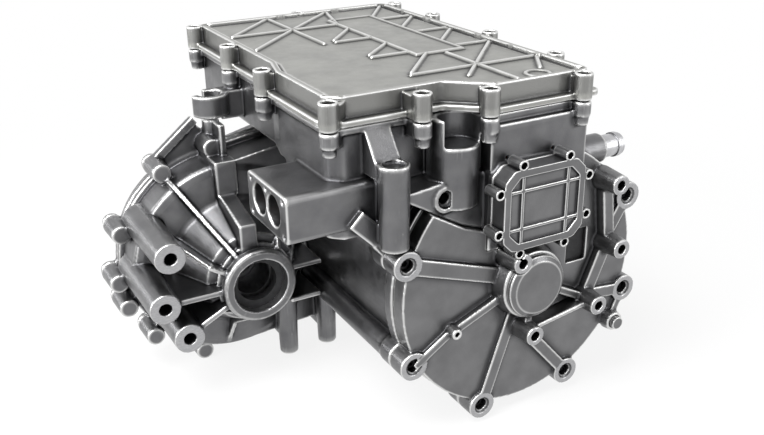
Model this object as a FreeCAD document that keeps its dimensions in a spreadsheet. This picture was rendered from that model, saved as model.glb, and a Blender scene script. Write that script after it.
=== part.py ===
import FreeCAD, Part
import math
import os
import re

import Sketcher
from FreeCAD import Placement, Rotation, Vector

# Electric drive unit: motor, inverter and reduction gearbox in one assembly.
# Lengths are millimetres. While the pieces are made, the motor axis is the Y axis, the motor's
# bolted end cover faces -Y and the inverter tub is on top. Every sub-part is then seated so that
# the origin lies on the output axis, at the outer face of the near output ring.

SIZES = {
    # Axes of the gear train, seen from the end cover
    "output_x": -182,
    "output_z": -21,
    "stage_one_module": 2,
    "pinion_teeth": 22,
    "counter_teeth": 54,
    "stage_two_module": 2.5,
    "counter_pinion_teeth": 19,
    "final_teeth": 68,
    "pressure_angle": 20,
    "tooth_backlash": 0.24,
    # Clearances
    "seal_gap": 0.3,
    "slip_gap": 0.1,
    "running_gap": 0.5,
    "overlap": 1,
    # Stations along the motor axis
    "cover_back": 20,
    "barrel_end": 205,
    "gearbox_split": 250.5,
    "gear_station": 270,
    "ring_face": 138,
    "bell_face": 206,
    # End cover
    "cover_radius": 116.5,
    "sector_face": 4,
    "cover_bolt_circle": 240,
    "cover_bolt_count": 8,
    "cover_bolt_first": 160.8,
    "cover_ear_radius": 12.5,
    "cover_screw_counterbore": 7.5,
    "cover_screw_pocket": 5.4,
    "rib_width": 7,
    "counterbore_depth": 2,
    "hub_radius": 30,
    "hub_draft": 3,
    "hub_face": -12,
    "resolver_cap_radius": 26,
    "resolver_cap_face": -19,
    "resolver_cap_rim": 4,
    "proud_face": -22,
    "proud_boss_radius": 8.5,
    "proud_boss_draft": 2,
    "proud_hole_radius": 4.3,
    "inner_hub_radius": 46,
    "inner_hub_end": 41,
    "resolver_bore": 22,
    "window_left": 46,
    "window_right": 67,
    "window_top": 31,
    "window_bottom": 1,
    "window_floor": 14,
    "sensor_height": 6,
    "shoulder_far_x": -130,
    "shoulder_far_z": 99.7,
    "shoulder_x": -59,
    "shoulder_z": 58,
    "shoulder_box_z": 50,
    "small_boss_face": -8,
    "small_boss_radius": 4.6,
    "small_boss_draft": 0.9,
    "small_hole_radius": 2.2,
    "small_hole_depth": 16,
    "plug_face": -6,
    "plug_boss_radius": 8.5,
    "plug_boss_draft": 1.5,
    "plug_radius": 5.9,
    "plug_length": 8,
    "plug_proud": 4,
    "cover_seal_width": 3,
    "cover_seal_thickness": 2,
    "bearing_relief_radius": 29,
    "bearing_relief_depth": 2,
    "ear_floor": 13,
    "screw_hole": 3.3,
    # Motor housing
    "barrel_radius": 114,
    "barrel_flange_radius": 118,
    "barrel_flange_length": 12,
    "stator_radius": 104,
    "bolt_rib_radius": 11.5,
    "bolt_rib_stop": 4,
    "ear_taper": 14,
    "ear_taper_end": 8.5,
    "screw_hole_depth": 24,
    "bearing_wall": 20,
    # Inverter tub and lid
    "tub_top": 147,
    "tub_floor": 119,
    "tub_under": 110,
    "tub_skirt": 98,
    "tub_wall": 5,
    "tub_left": -150,
    "tub_left_front": -158,
    "tub_step_near": 135,
    "tub_step_far": 165,
    "tub_right": 62,
    "tub_front": 38,
    "tub_front_right": 9,
    "tub_slope_left": -62,
    "tub_slope_right": -30,
    "tub_rear": 350,
    "tub_corner": 7,
    "tub_rim_reach": 3,
    "tub_rim_height": 6,
    "saddle_left": -70,
    "saddle_front": 30,
    "saddle_bottom": 60,
    "lid_seal_thickness": 1,
    "lid_lip_thickness": 5,
    "lid_lip_reach": 7,
    "lid_plate_top": 166.8,
    "lid_plate_thickness": 4,
    "lid_top": 170,
    "lid_bead_width": 5,
    "lid_rib_width": 4,
    "lid_pad_radius": 11,
    "lid_pad_wall": 2.5,
    "lid_pad_height": 2.4,
    "lid_rib_sink": 0.3,
    "lid_boss_radius": 7.5,
    "lid_screw_pocket": 5.4,
    "lid_column_bottom": 128,
    "lid_column_radius": 5.6,
    "lid_column_head": 12,
    "lid_hole_depth": 17,
    # Terminal box and access cover
    "box_left": -38,
    "box_right": 57,
    "box_bottom": 33,
    "box_front": 2,
    "box_back": 50,
    "access_pad_front": -3,
    "access_face": -20,
    "access_z": 73.8,
    "access_half_width": 39.5,
    "access_half_height": 34,
    "access_wall": 4,
    "access_clip": 9,
    "access_corner": 5,
    "access_frame": 6,
    "access_dish": 2.2,
    "access_rib_width": 2.6,
    "access_rib_sink": 0.3,
    "access_head_depth": 7,
    "access_hole_radius": 1.6,
    "access_hole_depth": 9,
    "access_seal_thickness": 0.8,
    "access_ear_radius": 4.4,
    "access_screw_pocket": 2.9,
    # Front left column
    "column_x": -120,
    "column_y": 10,
    "column_radius": 12.5,
    "column_top": 122,
    "column_bottom": 53,
    "column_draft": 1,
    "column_web_width": 23,
    "column_rib_width": 10,
    "column_cup_radius": 8.8,
    "column_cup_depth": 3,
    "scoop_column_x": -59,
    "scoop_column_y": 24,
    "scoop_column_bottom": 74,
    "scoop_column_radius": 21,
    "scoop_y": 18,
    "scoop_radius": 16,
    "scoop_floor": 125,
    # Screwed boss and web beside the terminal box
    "side_boss_x": -74,
    "side_boss_y": 8,
    "side_boss_z": 84,
    "side_boss_radius": 11,
    "side_boss_length": 22,
    "side_hole_radius": 4.6,
    "side_hole_depth": 18,
    "side_counterbore": 7.5,
    "side_counterbore_depth": 4,
    "web_left": -112,
    "web_left_z": 89.9,
    "web_front": 10,
    "web_thickness": 30,
    # Eye beside the tub
    "eye_x": -180,
    "eye_y": 243,
    "eye_z": 109,
    "eye_radius": 17,
    "eye_height": 20,
    "eye_bore": 10.5,
    # Coolant stubs
    "stub_boss_radius": 13,
    "stub_boss_start": 40,
    "stub_face": 100,
    "stub_hole_depth": 25.8,
    "stub_shank_radius": 7.9,
    "stub_shank_length": 18,
    "stub_radius": 10,
    "stub_length": 22,
    "stub_bead_radius": 11,
    "stub_bead_start": 115,
    "stub_bead_length": 4,
    "stub_bore": 6,
    "stub_bore_start": 84,
    # Connector block
    "tower_left": -158,
    "tower_right": -112,
    "tower_front": 38,
    "tower_chamfer": 10,
    "tower_back": 130,
    "tower_bottom": 55,
    "tower_top": 115,
    "tower_corner": 8,
    "block_root_x": -120,
    "block_corner": 5,
    "block_hole_radius": 1.8,
    "block_hole_depth": 9,
    "block_face_x": -200,
    "block_near": 28,
    "block_far": 104,
    "block_bottom": 66,
    "block_top": 104,
    "port_radius": 12.5,
    "port_depth": 20,
    "contact_hole_radius": 9,
    "contact_hole_depth": 16,
    "port_spacing": 27.7,
    "port_y": 67,
    "port_z": 86.3,
    "contact_thickness": 4,
    "contact_pin_radius": 4,
    # Gearbox
    "bell_flange_radius": 98,
    "motor_flange_radius": 106,
    "flange_thickness": 7.5,
    "pan_output_radius": 70,
    "pan_motor_radius": 92,
    "motor_flange_circle": 168,
    "case_wall": 6,
    "flange_bolt_circle": 210,
    "flange_boss_radius": 9.5,
    "flange_boss_face": 220,
    "ring_radius": 34,
    "ring_bore": 25,
    "mount_boss_radius": 13.5,
    "mount_hole_radius": 5.5,
    "mount_face": 139,
    "mount_hole_depth": 36,
    "mount_boss_length": 100,
    "mount_boss_draft": 1.5,
    "mount_web_width": 5,
    "spoke_width": 4,
    "foot_y": 187,
    "foot_z": -125,
    "foot_radius": 9,
    "foot_draft": 1.5,
    "foot_length": 70,
    "foot_web_width": 6,
    "foot_web_back": 236,
    "foot_web_bottom": -116,
    "foot_web_top": -50,
    "motor_boss_length": 30,
    "bell_depth": 39,
    "bell_wall": 8,
    "motor_wall": 14,
    "counter_boss_radius": 38,
    "gearbox_hole_depth": 24,
    "dowel_radius": 2.5,
    "dowel_length": 10,
    "dowel_hole_depth": 6,
    "port_plug_radius": 7.9,
    "port_plug_depth": 8,
    "port_plug_head": 11,
    "port_plug_height": 7,
    "breather_radius": 4.9,
    "breather_head": 7.5,
    "breather_height": 9,
    "cover_depth": 52,
    "far_ring_length": 22,
    "pan_cone": 12,
    "pan_motor_cone": 8,
    "pan_rib_width": 5,
    "pan_rib_height": 5,
    "seat_cone_start": 38,
    "seat_cone_end": 33,
    "seat_cone_height": 8,
    "seat_ring_radius": 36,
    "seat_ring_start": 28,
    "seat_ring_length": 22,
    # Screws: the master sizes of the two kinds of socket screw
    "head_radius": 5.1,
    "head_height": 5.6,
    "shank_radius": 3,
    "key_radius": 3,
    "medium_length": 22,
    "long_length": 30,
    "small_head_radius": 2.75,
    "small_head_height": 3,
    "small_shank_radius": 1.5,
    "small_key_radius": 1.4,
    "small_length": 14,
    # Motor internals
    "stack_start": 64,
    "stack_length": 95,
    "stator_bore": 66,
    "air_gap": 0.8,
    "winding_overhang": 21,
    "winding_inner": 72,
    "winding_outer": 97,
    "shaft_radius": 20,
    "magnet_count": 8,
    "magnet_thickness": 5,
    "magnet_lean": 13,
    "magnet_gap": 0.1,
    "slot_width": 5,
    "slot_liner": 0.2,
    "end_plate_thickness": 6,
    "shaft_start": -9,
    "sensor_shaft_radius": 12,
    "resolver_start": -4,
    "resolver_width": 8,
    "resolver_rotor_outer": 17,
    "resolver_stator_inner": 17.8,
    "shaft_seal_width": 8,
    "output_seal_inner": 18.3,
    "ball_share": 0.29,
    "differential_middle": 229,
    "differential_pin_radius": 8,
    "differential_pin_length": 92,
    "ring_screw_circle": 112,
    "motor_bearing_outer": 40,
    "motor_bearing_width": 18,
    "small_bearing_bore": 15,
    "small_bearing_outer": 31,
    "small_bearing_width": 16,
    "diff_bearing_bore": 22.5,
    "diff_bearing_outer": 38,
    "diff_bearing_width": 19,
}

doc = FreeCAD.newDocument("electric_drive_unit")
sheet = doc.addObject("Spreadsheet::Sheet", "sizes")
for row, (alias, size) in enumerate(SIZES.items(), start=1):
    sheet.set(f"A{row}", alias.replace("_", " "))
    sheet.set(f"B{row}", str(size))
    sheet.setAlias(f"B{row}", alias)
doc.recompute()


def in_cells(text):
    """Turn the size names of a formula into the cells of the sheet."""
    return re.sub(r"[a-z_]{2,}", lambda found: f"sizes.{found[0]}" if found[0] in SIZES else found[0],
                  str(text))


def bind(item, name, text):
    """Tie a property to a formula of named sizes."""
    item.setExpression(name, in_cells(text))


def number(text):
    """The present value of a formula, in millimetres or degrees."""
    found = sheet.evalExpression(in_cells(text))
    return found.Value if hasattr(found, "Value") else float(found)


def seat(item, x="0", y="0", z="0"):
    """Tie the place of a piece to formulas."""
    for axis, text in zip("xyz", (x, y, z)):
        if text != "0":
            bind(item, f".Placement.Base.{axis}", text)


ALONG = {
    "z": Rotation(),
    "-z": Rotation(Vector(1, 0, 0), 180),
    "y": Rotation(Vector(1, 0, 0), -90),
    "-y": Rotation(Vector(1, 0, 0), 90),
    "x": Rotation(Vector(0, 1, 0), 90),
    "-x": Rotation(Vector(0, 1, 0), -90),
}


def cylinder(radius, height, x="0", y="0", z="0", along="y"):
    """A round bar that starts at x, y, z."""
    item = doc.addObject("Part::Cylinder", "bar")
    bind(item, "Radius", radius)
    bind(item, "Height", height)
    item.Placement = Placement(Vector(), ALONG[along])
    seat(item, x, y, z)
    return item


def cone(start, end, height, x="0", y="0", z="0", along="y"):
    """A tapered round bar with its own radius at each end."""
    item = doc.addObject("Part::Cone", "taper")
    bind(item, "Radius1", start)
    bind(item, "Radius2", end)
    bind(item, "Height", height)
    item.Placement = Placement(Vector(), ALONG[along])
    seat(item, x, y, z)
    return item


def block(x, y, z):
    """A square-edged block, from three pairs of formulas for its low and high faces."""
    item = doc.addObject("Part::Box", "block")
    bind(item, "Length", f"({x[1]}) - ({x[0]})")
    bind(item, "Width", f"({y[1]}) - ({y[0]})")
    bind(item, "Height", f"({z[1]}) - ({z[0]})")
    seat(item, x[0], y[0], z[0])
    return item


def bar_between(start, end, width, low, high):
    """A flat rib across the motor axis: from one x, z point to another, between two y stations."""
    run_x = f"(({end[0]}) - ({start[0]}))"
    run_z = f"(({end[1]}) - ({start[1]}))"
    item = doc.addObject("Part::Box", "rib")
    bind(item, "Length", f"hypot({run_x}; {run_z})")
    bind(item, "Width", f"({high}) - ({low})")
    bind(item, "Height", width)
    item.Placement = Placement(Vector(), Rotation(Vector(0, 1, 0), 30))
    bind(item, "Placement.Rotation.Angle", f"-atan2({run_z}; {run_x})")
    side = f"({width}) / 2 / hypot({run_x}; {run_z})"
    seat(item, f"({start[0]}) + {run_z} * {side}", low, f"({start[1]}) - {run_x} * {side}")
    return item


def bar_on_top(start, end, width, low, high):
    """A flat rib on a level face: from one x, y point to another, between two heights."""
    run_x = f"(({end[0]}) - ({start[0]}))"
    run_y = f"(({end[1]}) - ({start[1]}))"
    item = doc.addObject("Part::Box", "rib")
    bind(item, "Length", f"hypot({run_x}; {run_y})")
    bind(item, "Width", width)
    bind(item, "Height", f"({high}) - ({low})")
    item.Placement = Placement(Vector(), Rotation(Vector(0, 0, 1), 30))
    bind(item, "Placement.Rotation.Angle", f"atan2({run_y}; {run_x})")
    side = f"({width}) / 2 / hypot({run_x}; {run_y})"
    seat(item, f"({start[0]}) + {run_y} * {side}", f"({start[1]}) - {run_x} * {side}", low)
    return item


def fuse(items, label="casting"):
    """Join solids that touch into one."""
    item = doc.addObject("Part::MultiFuse", label)
    item.Shapes = items
    return item


def cut(base, tools, label="cut"):
    """Take one or more solids away from another."""
    item = doc.addObject("Part::Cut", label)
    item.Base = base
    item.Tool = tools[0] if len(tools) == 1 else fuse(tools, "tools")
    return item


def group(items, label):
    """Keep like pieces as separate solids under one name."""
    item = doc.addObject("Part::Compound", label)
    item.Links = items
    return item


def origin_plane(body, role):
    return next(item for item in body.Origin.OriginFeatures if item.Role == role)


def sketch_on(body, role):
    sketch = body.newObject("Sketcher::SketchObject", "outline")
    sketch.AttachmentSupport = (origin_plane(body, role), [""])
    sketch.MapMode = "FlatFace"
    return sketch


def pin_point(sketch, line, end, across, up):
    """Hold one end of a sketch line at a pair of formulas."""
    for kind, text in (("DistanceX", across), ("DistanceY", up)):
        mark = sketch.addConstraint(Sketcher.Constraint(kind, -1, 1, line, end, number(text)))
        bind(sketch, f"Constraints[{mark}]", text)


def polygon(sketch, corners):
    """Draw a closed outline whose corners are pairs of formulas."""
    points = [Vector(number(across), number(up), 0) for across, up in corners]
    count = len(points)
    for index in range(count):
        sketch.addGeometry(Part.LineSegment(points[index], points[(index + 1) % count]), False)
    for index in range(count):
        sketch.addConstraint(Sketcher.Constraint("Coincident", index, 2, (index + 1) % count, 1))
    for index, (across, up) in enumerate(corners):
        pin_point(sketch, index, 1, across, up)


def edges_along(shape, direction):
    """Names of the straight edges that run along a direction."""
    names = []
    for index, edge in enumerate(shape.Edges, start=1):
        if isinstance(edge.Curve, Part.Line) and abs(edge.Curve.Direction.dot(direction)) > 0.999:
            names.append(f"Edge{index}")
    return names


NORMAL = {"XY_Plane": Vector(0, 0, 1), "XZ_Plane": Vector(0, 1, 0), "YZ_Plane": Vector(1, 0, 0)}


def plate(label, role, corners, thickness, start="0", corner_radius=None):
    """A body padded from a polygon along the plane's positive axis, with its corners rounded."""
    body = doc.addObject("PartDesign::Body", label)
    sketch = sketch_on(body, role)
    polygon(sketch, corners)
    pad = body.newObject("PartDesign::Pad", "pad")
    pad.Profile = sketch
    bind(pad, "Length", thickness)
    pad.Reversed = role == "XZ_Plane"
    if corner_radius:
        doc.recompute()
        fillet = body.newObject("PartDesign::Fillet", "corners")
        fillet.Base = (pad, edges_along(pad.Shape, NORMAL[role]))
        bind(fillet, "Radius", corner_radius)
        body.Tip = fillet
    axis = {"XY_Plane": 2, "XZ_Plane": 1, "YZ_Plane": 0}[role]
    seat(body, *[start if index == axis else "0" for index in range(3)])
    return body


def turned(label, corners, x="0", y="0", z="0"):
    """A body turned about an axis along Y from a profile of (station, radius) pairs."""
    body = doc.addObject("PartDesign::Body", label)
    sketch = sketch_on(body, "XY_Plane")
    polygon(sketch, [(radius, station) for station, radius in corners])
    turn = body.newObject("PartDesign::Revolution", "turn")
    turn.Profile = sketch
    turn.ReferenceAxis = (sketch, ["V_Axis"])
    turn.Angle = 360
    seat(body, x, y, z)
    return body


def two_circle_plate(label, near_radius, far_radius, thickness, start):
    """A plate whose outline wraps a circle on the output axis and one on the motor axis."""
    body = doc.addObject("PartDesign::Body", label)
    sketch = sketch_on(body, "XZ_Plane")
    center = Vector(number("output_x"), number("output_z"), 0)
    radii = (number(near_radius), number(far_radius))
    span = math.hypot(center.x, center.y)
    heading = math.atan2(-center.y, -center.x)
    lean = math.acos((radii[0] - radii[1]) / span)
    top, bottom = heading + lean, heading - lean
    full = 2 * math.pi

    def rim(middle, radius, angle):
        return middle + Vector(radius * math.cos(angle), radius * math.sin(angle), 0)

    up = Vector(0, 0, 1)
    sketch.addGeometry(Part.ArcOfCircle(Part.Circle(center, up, radii[0]), top, bottom + full), False)
    sketch.addGeometry(Part.ArcOfCircle(Part.Circle(Vector(), up, radii[1]), bottom, top), False)
    sketch.addGeometry(Part.LineSegment(rim(center, radii[0], bottom), rim(Vector(), radii[1], bottom)),
                       False)
    sketch.addGeometry(Part.LineSegment(rim(Vector(), radii[1], top), rim(center, radii[0], top)), False)
    for first, first_end, second, second_end in ((0, 2, 2, 1), (2, 2, 1, 1), (1, 2, 3, 1), (3, 2, 0, 1)):
        sketch.addConstraint(Sketcher.Constraint("Tangent", first, first_end, second, second_end))
    for arc, text in ((0, near_radius), (1, far_radius)):
        mark = sketch.addConstraint(Sketcher.Constraint("Radius", arc, number(text)))
        bind(sketch, f"Constraints[{mark}]", text)
    pin_point(sketch, 0, 3, "output_x", "output_z")
    sketch.addConstraint(Sketcher.Constraint("Coincident", 1, 3, -1, 1))
    pad = body.newObject("PartDesign::Pad", "pad")
    pad.Profile = sketch
    pad.Reversed = True
    bind(pad, "Length", thickness)
    seat(body, y=start)
    return body


def ring(inner, outer, length, x="0", y="0", z="0", label="ring"):
    """A plain ring about an axis along Y."""
    return cut(cylinder(outer, length, x, y, z), [cylinder(inner, length, x, y, z)], label)


def around(circle, angle, x="0", z="0"):
    """The x and z formulas of a point on a circle given by its diameter."""
    return f"({x}) + ({circle}) / 2 * cos({angle})", f"({z}) + ({circle}) / 2 * sin({angle})"


SUBPARTS = []


def finish(item, label):
    """Name a sub-part and keep it for the export."""
    item.Label = label
    SUBPARTS.append(item)
    return item


# Centres of the gear train: the countershaft lies where the two centre distances meet
STAGE_ONE = "((pinion_teeth + counter_teeth) * stage_one_module / 2)"
STAGE_TWO = "((counter_pinion_teeth + final_teeth) * stage_two_module / 2)"
SPAN = "hypot(output_x; output_z)"
COUNTER_ANGLE = (f"(180 deg + atan2(-output_z; -output_x) - acos(({STAGE_ONE}^2 + {SPAN}^2 - {STAGE_TWO}^2)"
                 f" / (2 * {STAGE_ONE} * {SPAN})))")
COUNTER_X = f"({STAGE_ONE} * cos({COUNTER_ANGLE}))"
COUNTER_Z = f"({STAGE_ONE} * sin({COUNTER_ANGLE}))"
OUTPUT = ("output_x", "output_z")
COUNTER = (COUNTER_X, COUNTER_Z)
MOTOR = ("0", "0")


COVER_ANGLES = [f"cover_bolt_first + {index} * 360 / cover_bolt_count" for index in range(6)]
COVER_BOLTS = [around("cover_bolt_circle", angle) for angle in COVER_ANGLES]
PROUD_BOSSES = [("-19.5", "27.5"), ("-3", "-44"), ("65", "-34"), ("85.5", "15"), ("78", "75")]
PROUD_HOLE_DEPTHS = ["28", "26", "24", "22", "30"]
SMALL_BOSS = ("-72", "-29")
PLUG = ("101", "-68")


def end_cover():
    """The round cover: a plate with raised ribs that run from the hub to the screw ears."""
    top_boss, lower_boss, right_boss, side_boss, corner_boss = PROUD_BOSSES
    left, lower_left, bottom, lower_right, right, upper_right = COVER_BOLTS
    solids = [
        cylinder("cover_radius", "cover_back - sector_face", y="sector_face"),
        cone("hub_radius + hub_draft", "hub_radius", "sector_face - hub_face", y="sector_face", along="-y"),
        cylinder("inner_hub_radius", "inner_hub_end - cover_back", y="cover_back"),
        cone("small_boss_radius + small_boss_draft", "small_boss_radius", "sector_face - small_boss_face",
             SMALL_BOSS[0], "sector_face", SMALL_BOSS[1], "-y"),
        cone("plug_boss_radius + plug_boss_draft", "plug_boss_radius", "sector_face - plug_face",
             PLUG[0], "sector_face", PLUG[1], "-y"),
    ]
    for x, z in COVER_BOLTS:
        solids.append(cylinder("cover_ear_radius", "cover_back", x, "0", z))
    for x, z in PROUD_BOSSES:
        solids.append(cone("proud_boss_radius + proud_boss_draft", "proud_boss_radius",
                           "sector_face - proud_face",
                           x, "sector_face", z, "-y"))
    ribs = [
        (MOTOR, left, "2 * rib_width", "0"),
        (MOTOR, SMALL_BOSS, "rib_width", "-3"),
        (SMALL_BOSS, lower_left, "rib_width", "-1"),
        (MOTOR, bottom, "1.6 * rib_width", "0"),
        (lower_boss, lower_right, "1.6 * rib_width", "0"),
        (MOTOR, lower_boss, "rib_width", "-11"),
        (lower_boss, right_boss, "0.6 * rib_width", "-12"),
        (MOTOR, right_boss, "rib_width", "-5"),
        (right_boss, right, "1.6 * rib_width", "0"),
        (right_boss, side_boss, "1.8 * rib_width", "-4"),
        (side_boss, upper_right, "1.6 * rib_width", "0"),
        (side_boss, corner_boss, "1.6 * rib_width", "-6"),
        (PLUG, right, "rib_width", "0"),
    ]
    for start, end, width, face in ribs:
        solids.append(bar_between(start, end, width, face, "cover_back"))
    tools = [
        cylinder("resolver_bore", "cover_back + 30", y="resolver_cap_face + 6"),
        cylinder("motor_bearing_outer + slip_gap", "inner_hub_end", y="cover_back + 2"),
        block(("box_left - slip_gap", "box_right + slip_gap"), ("box_front - slip_gap", "cover_back"),
              ("box_bottom - slip_gap", "cover_radius + 20")),
        plate("shoulder_cut", "XZ_Plane", [("shoulder_far_x", "shoulder_far_z"), ("shoulder_x", "shoulder_z"),
                                           ("box_left", "shoulder_box_z"), ("box_left", "tub_top"),
                                           ("shoulder_far_x", "tub_top")], "50", "cover_back - 50"),
        cylinder("access_ear_radius + seal_gap", "45", "-22.5", "box_front - 45", "36.5"),
        block(("box_right", "tub_right + slip_gap"), ("tub_front_right - slip_gap", "cover_back"),
              ("tub_skirt - slip_gap", "cover_radius + 20")),
        cylinder("bearing_relief_radius", "bearing_relief_depth", y="cover_back + 1"),
        block(("window_left", "window_right"), ("proud_face", "window_floor"),
              ("window_bottom", "window_top")),
        cylinder("small_hole_radius", "small_hole_depth", SMALL_BOSS[0], "small_boss_face", SMALL_BOSS[1]),
        cylinder("plug_radius + slip_gap", "plug_length", PLUG[0], "plug_face", PLUG[1]),
    ]
    for x, z in COVER_BOLTS:
        tools.append(cylinder("cover_screw_counterbore", "counterbore_depth", x, "0", z))
        tools.append(cylinder("cover_screw_pocket", "ear_floor", x, "0", z))
        tools.append(cylinder("screw_hole", "cover_back", x, "0", z))
    for (x, z), depth in zip(PROUD_BOSSES, PROUD_HOLE_DEPTHS):
        tools.append(cylinder("proud_hole_radius", depth, x, "proud_face", z))
    finish(cut(fuse(solids), tools), "end_cover")
    cap = turned("cap_blank", [("hub_face", "0"), ("hub_face", "hub_radius - 2"),
                               ("hub_face - resolver_cap_rim", "hub_radius - 2.4"),
                               ("resolver_cap_face", "resolver_cap_radius - 3"), ("resolver_cap_face", "0")])
    cap = cut(cap, [cylinder("proud_boss_radius + proud_boss_draft + seal_gap", "40", top_boss[0],
                             "proud_face - 5",
                             top_boss[1])])
    finish(cap, "resolver_cap")
    finish(cylinder("plug_radius", "plug_length", PLUG[0], "plug_face - plug_proud", PLUG[1]),
           "blanking_plug")
    finish(block(("window_left + slip_gap", "window_right - slip_gap"),
                 ("window_floor - sensor_height", "window_floor"),
                 ("window_bottom + slip_gap", "window_top - slip_gap")), "sensor_connector")
    finish(ring("stator_radius - cover_seal_width", "stator_radius", "cover_seal_thickness", y="cover_back"),
           "end_cover_seal")


LID_BOSSES = [("-156.5", "344", "-140", "344"), ("-157.6", "246", "-140", "246"),
              ("-165", "147", "-145", "147"),
              ("-161", "33", "-140", "50"), ("-90", "19", "-90", "45"), ("-40", "2.6", "-30", "25"),
              ("48", "0.5", "48", "20"), ("72", "65", "50", "65"), ("75", "166", "50", "166"),
              ("75", "268", "50", "268"), ("73", "344", "50", "344"), ("-40", "352", "-40", "335")]


LID_PAD = ("21.6", "25.2")


def tub_outline(grow):
    """Corners of the inverter tub seen from above, moved outwards by a formula."""
    return [
        (f"tub_left_front - ({grow})", f"tub_front + 10 - 0.4 * ({grow})"),
        (f"tub_left_front - ({grow})", f"tub_step_near + 0.2 * ({grow})"),
        (f"tub_left - ({grow})", f"tub_step_far + 0.2 * ({grow})"),
        (f"tub_left - ({grow})", f"tub_rear + ({grow})"),
        (f"tub_right + ({grow})", f"tub_rear + ({grow})"),
        (f"tub_right + ({grow})", f"tub_front_right - ({grow})"),
        (f"tub_slope_right - 0.3 * ({grow})", f"tub_front_right - ({grow})"),
        (f"tub_slope_left - 0.3 * ({grow})", f"tub_front - ({grow})"),
        (f"tub_left_front + 10 - 0.4 * ({grow})", f"tub_front - ({grow})"),
    ]


def inverter_lid():
    """The lid: a shallow ribbed pan turned upside down, with screw bosses round its edge."""
    seat_top = "(tub_top + lid_seal_thickness)"
    solids = [
        plate("lid_wall", "XY_Plane", tub_outline("0"), f"lid_plate_top - {seat_top}", seat_top,
              "tub_corner"),
        plate("lid_lip", "XY_Plane", tub_outline("lid_lip_reach"), "lid_lip_thickness", seat_top,
              "tub_corner"),
        cut(plate("bead", "XY_Plane", tub_outline("0"), "lid_top - lid_plate_top + 1", "lid_plate_top - 1",
                  "tub_corner"),
            [plate("bead_inside", "XY_Plane", tub_outline("-lid_bead_width"), "9", "lid_plate_top - 2",
                   "tub_corner")]),
    ]
    for x, y, foot_x, foot_y in LID_BOSSES:
        solids.append(cylinder("lid_boss_radius", f"lid_top - {seat_top}", x, y, seat_top, "z"))
        solids.append(bar_on_top((x, y), (foot_x, foot_y), "2 * lid_boss_radius - 2", seat_top,
                                 "lid_plate_top"))
    for start, end in LID_RIBS:
        solids.append(bar_on_top(start, end, "lid_rib_width", "lid_plate_top - 1", "lid_top - lid_rib_sink"))
    solids.append(block(("-112", "-34"), ("150", "300"), ("lid_plate_top - 1", "lid_top - 1")))
    solids.append(block(("-88", "-6"), ("178", "262"), ("lid_plate_top - 1", "lid_top - 0.4")))
    solids.append(cut(cylinder("lid_pad_radius", "lid_pad_height", *LID_PAD, "lid_plate_top - 1", "z"),
                      [cylinder("lid_pad_radius - lid_pad_wall", "3", *LID_PAD, "lid_plate_top", "z")]))
    tools = [plate("lid_inside", "XY_Plane", tub_outline("-tub_wall"),
                   f"lid_plate_top - lid_plate_thickness - {seat_top}",
                   seat_top, "tub_corner")]
    for x, y, _, _ in LID_BOSSES:
        tools.append(cylinder("lid_screw_pocket", "lid_column_head", x, y, "lid_top - lid_column_head", "z"))
        tools.append(cylinder("screw_hole", "lid_top", x, y, "tub_top", "z"))
    finish(cut(fuse(solids), tools), "inverter_lid")
    finish(cut(plate("seal_outside", "XY_Plane", tub_outline("1.5"), "lid_seal_thickness", "tub_top",
                     "tub_corner"),
               [plate("seal_inside", "XY_Plane", tub_outline("-tub_wall + 1"), "lid_seal_thickness",
                      "tub_top",
                      "tub_corner"),
                *[cylinder("screw_hole", "4", x, y, "tub_top - 1", "z") for x, y, _,
                  _ in LID_BOSSES]]), "lid_seal")


LID_RIBS = [
    (("-143", "262"), ("-112", "300")), (("-112", "300"), ("-62", "345")), (("-143", "345"), ("-112", "300")),
    (("-62", "345"), ("-34", "300")), (("-34", "300"), ("0", "345")), (("0", "345"), ("30", "300")),
    (("30", "300"), ("57", "345")), (("57", "250"), ("30", "300")), (("-112", "300"), ("57", "300")),
    (("30", "300"), ("-12", "256")), (("57", "250"), ("20", "205")), (("57", "160"), ("20", "205")),
    (("20", "205"), ("-12", "184")), (("57", "160"), ("12", "110")), (("57", "70"), ("12", "110")),
    (("12", "110"), ("-34", "150")), (("12", "110"), ("-30", "70")), (("57", "160"), ("-34", "160")),
    (("57", "250"), ("-12", "250")), (("12", "110"), ("57", "110")), (("57", "70"), ("-20", "20")),
]


ACCESS_SCREWS = [("-22.5", "111"), ("22.5", "111"), ("-22.5", "36.5"), ("22.5", "36.5"),
                 ("-43.5", "91"), ("43.5", "91"), ("-43.5", "57"), ("43.5", "57")]


def access_outline(grow):
    """Corners of the access cover seen from the front, moved outwards by a formula."""
    wide, high = f"(access_half_width + {grow})", f"(access_half_height + {grow})"
    return [(f"-{wide} + access_clip", f"access_z - {high}"), (f"{wide} - access_clip", f"access_z - {high}"),
            (wide, f"access_z - {high} + access_clip"), (wide, f"access_z + {high} - access_clip"),
            (f"{wide} - access_clip", f"access_z + {high}"), (f"-{wide} + access_clip", f"access_z + {high}"),
            (f"-{wide}", f"access_z + {high} - access_clip"), (f"-{wide}",
                                                               f"access_z - {high} + access_clip")]


# A lattice of stiffening ribs: two long bars, four short posts and one diagonal
ACCESS_RIBS = [(("-34", "58"), ("34", "58")), (("-34", "90"), ("34", "90")),
               (("-22", "43"), ("-22", "104")), (("22", "43"), ("22", "104"))]


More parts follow.
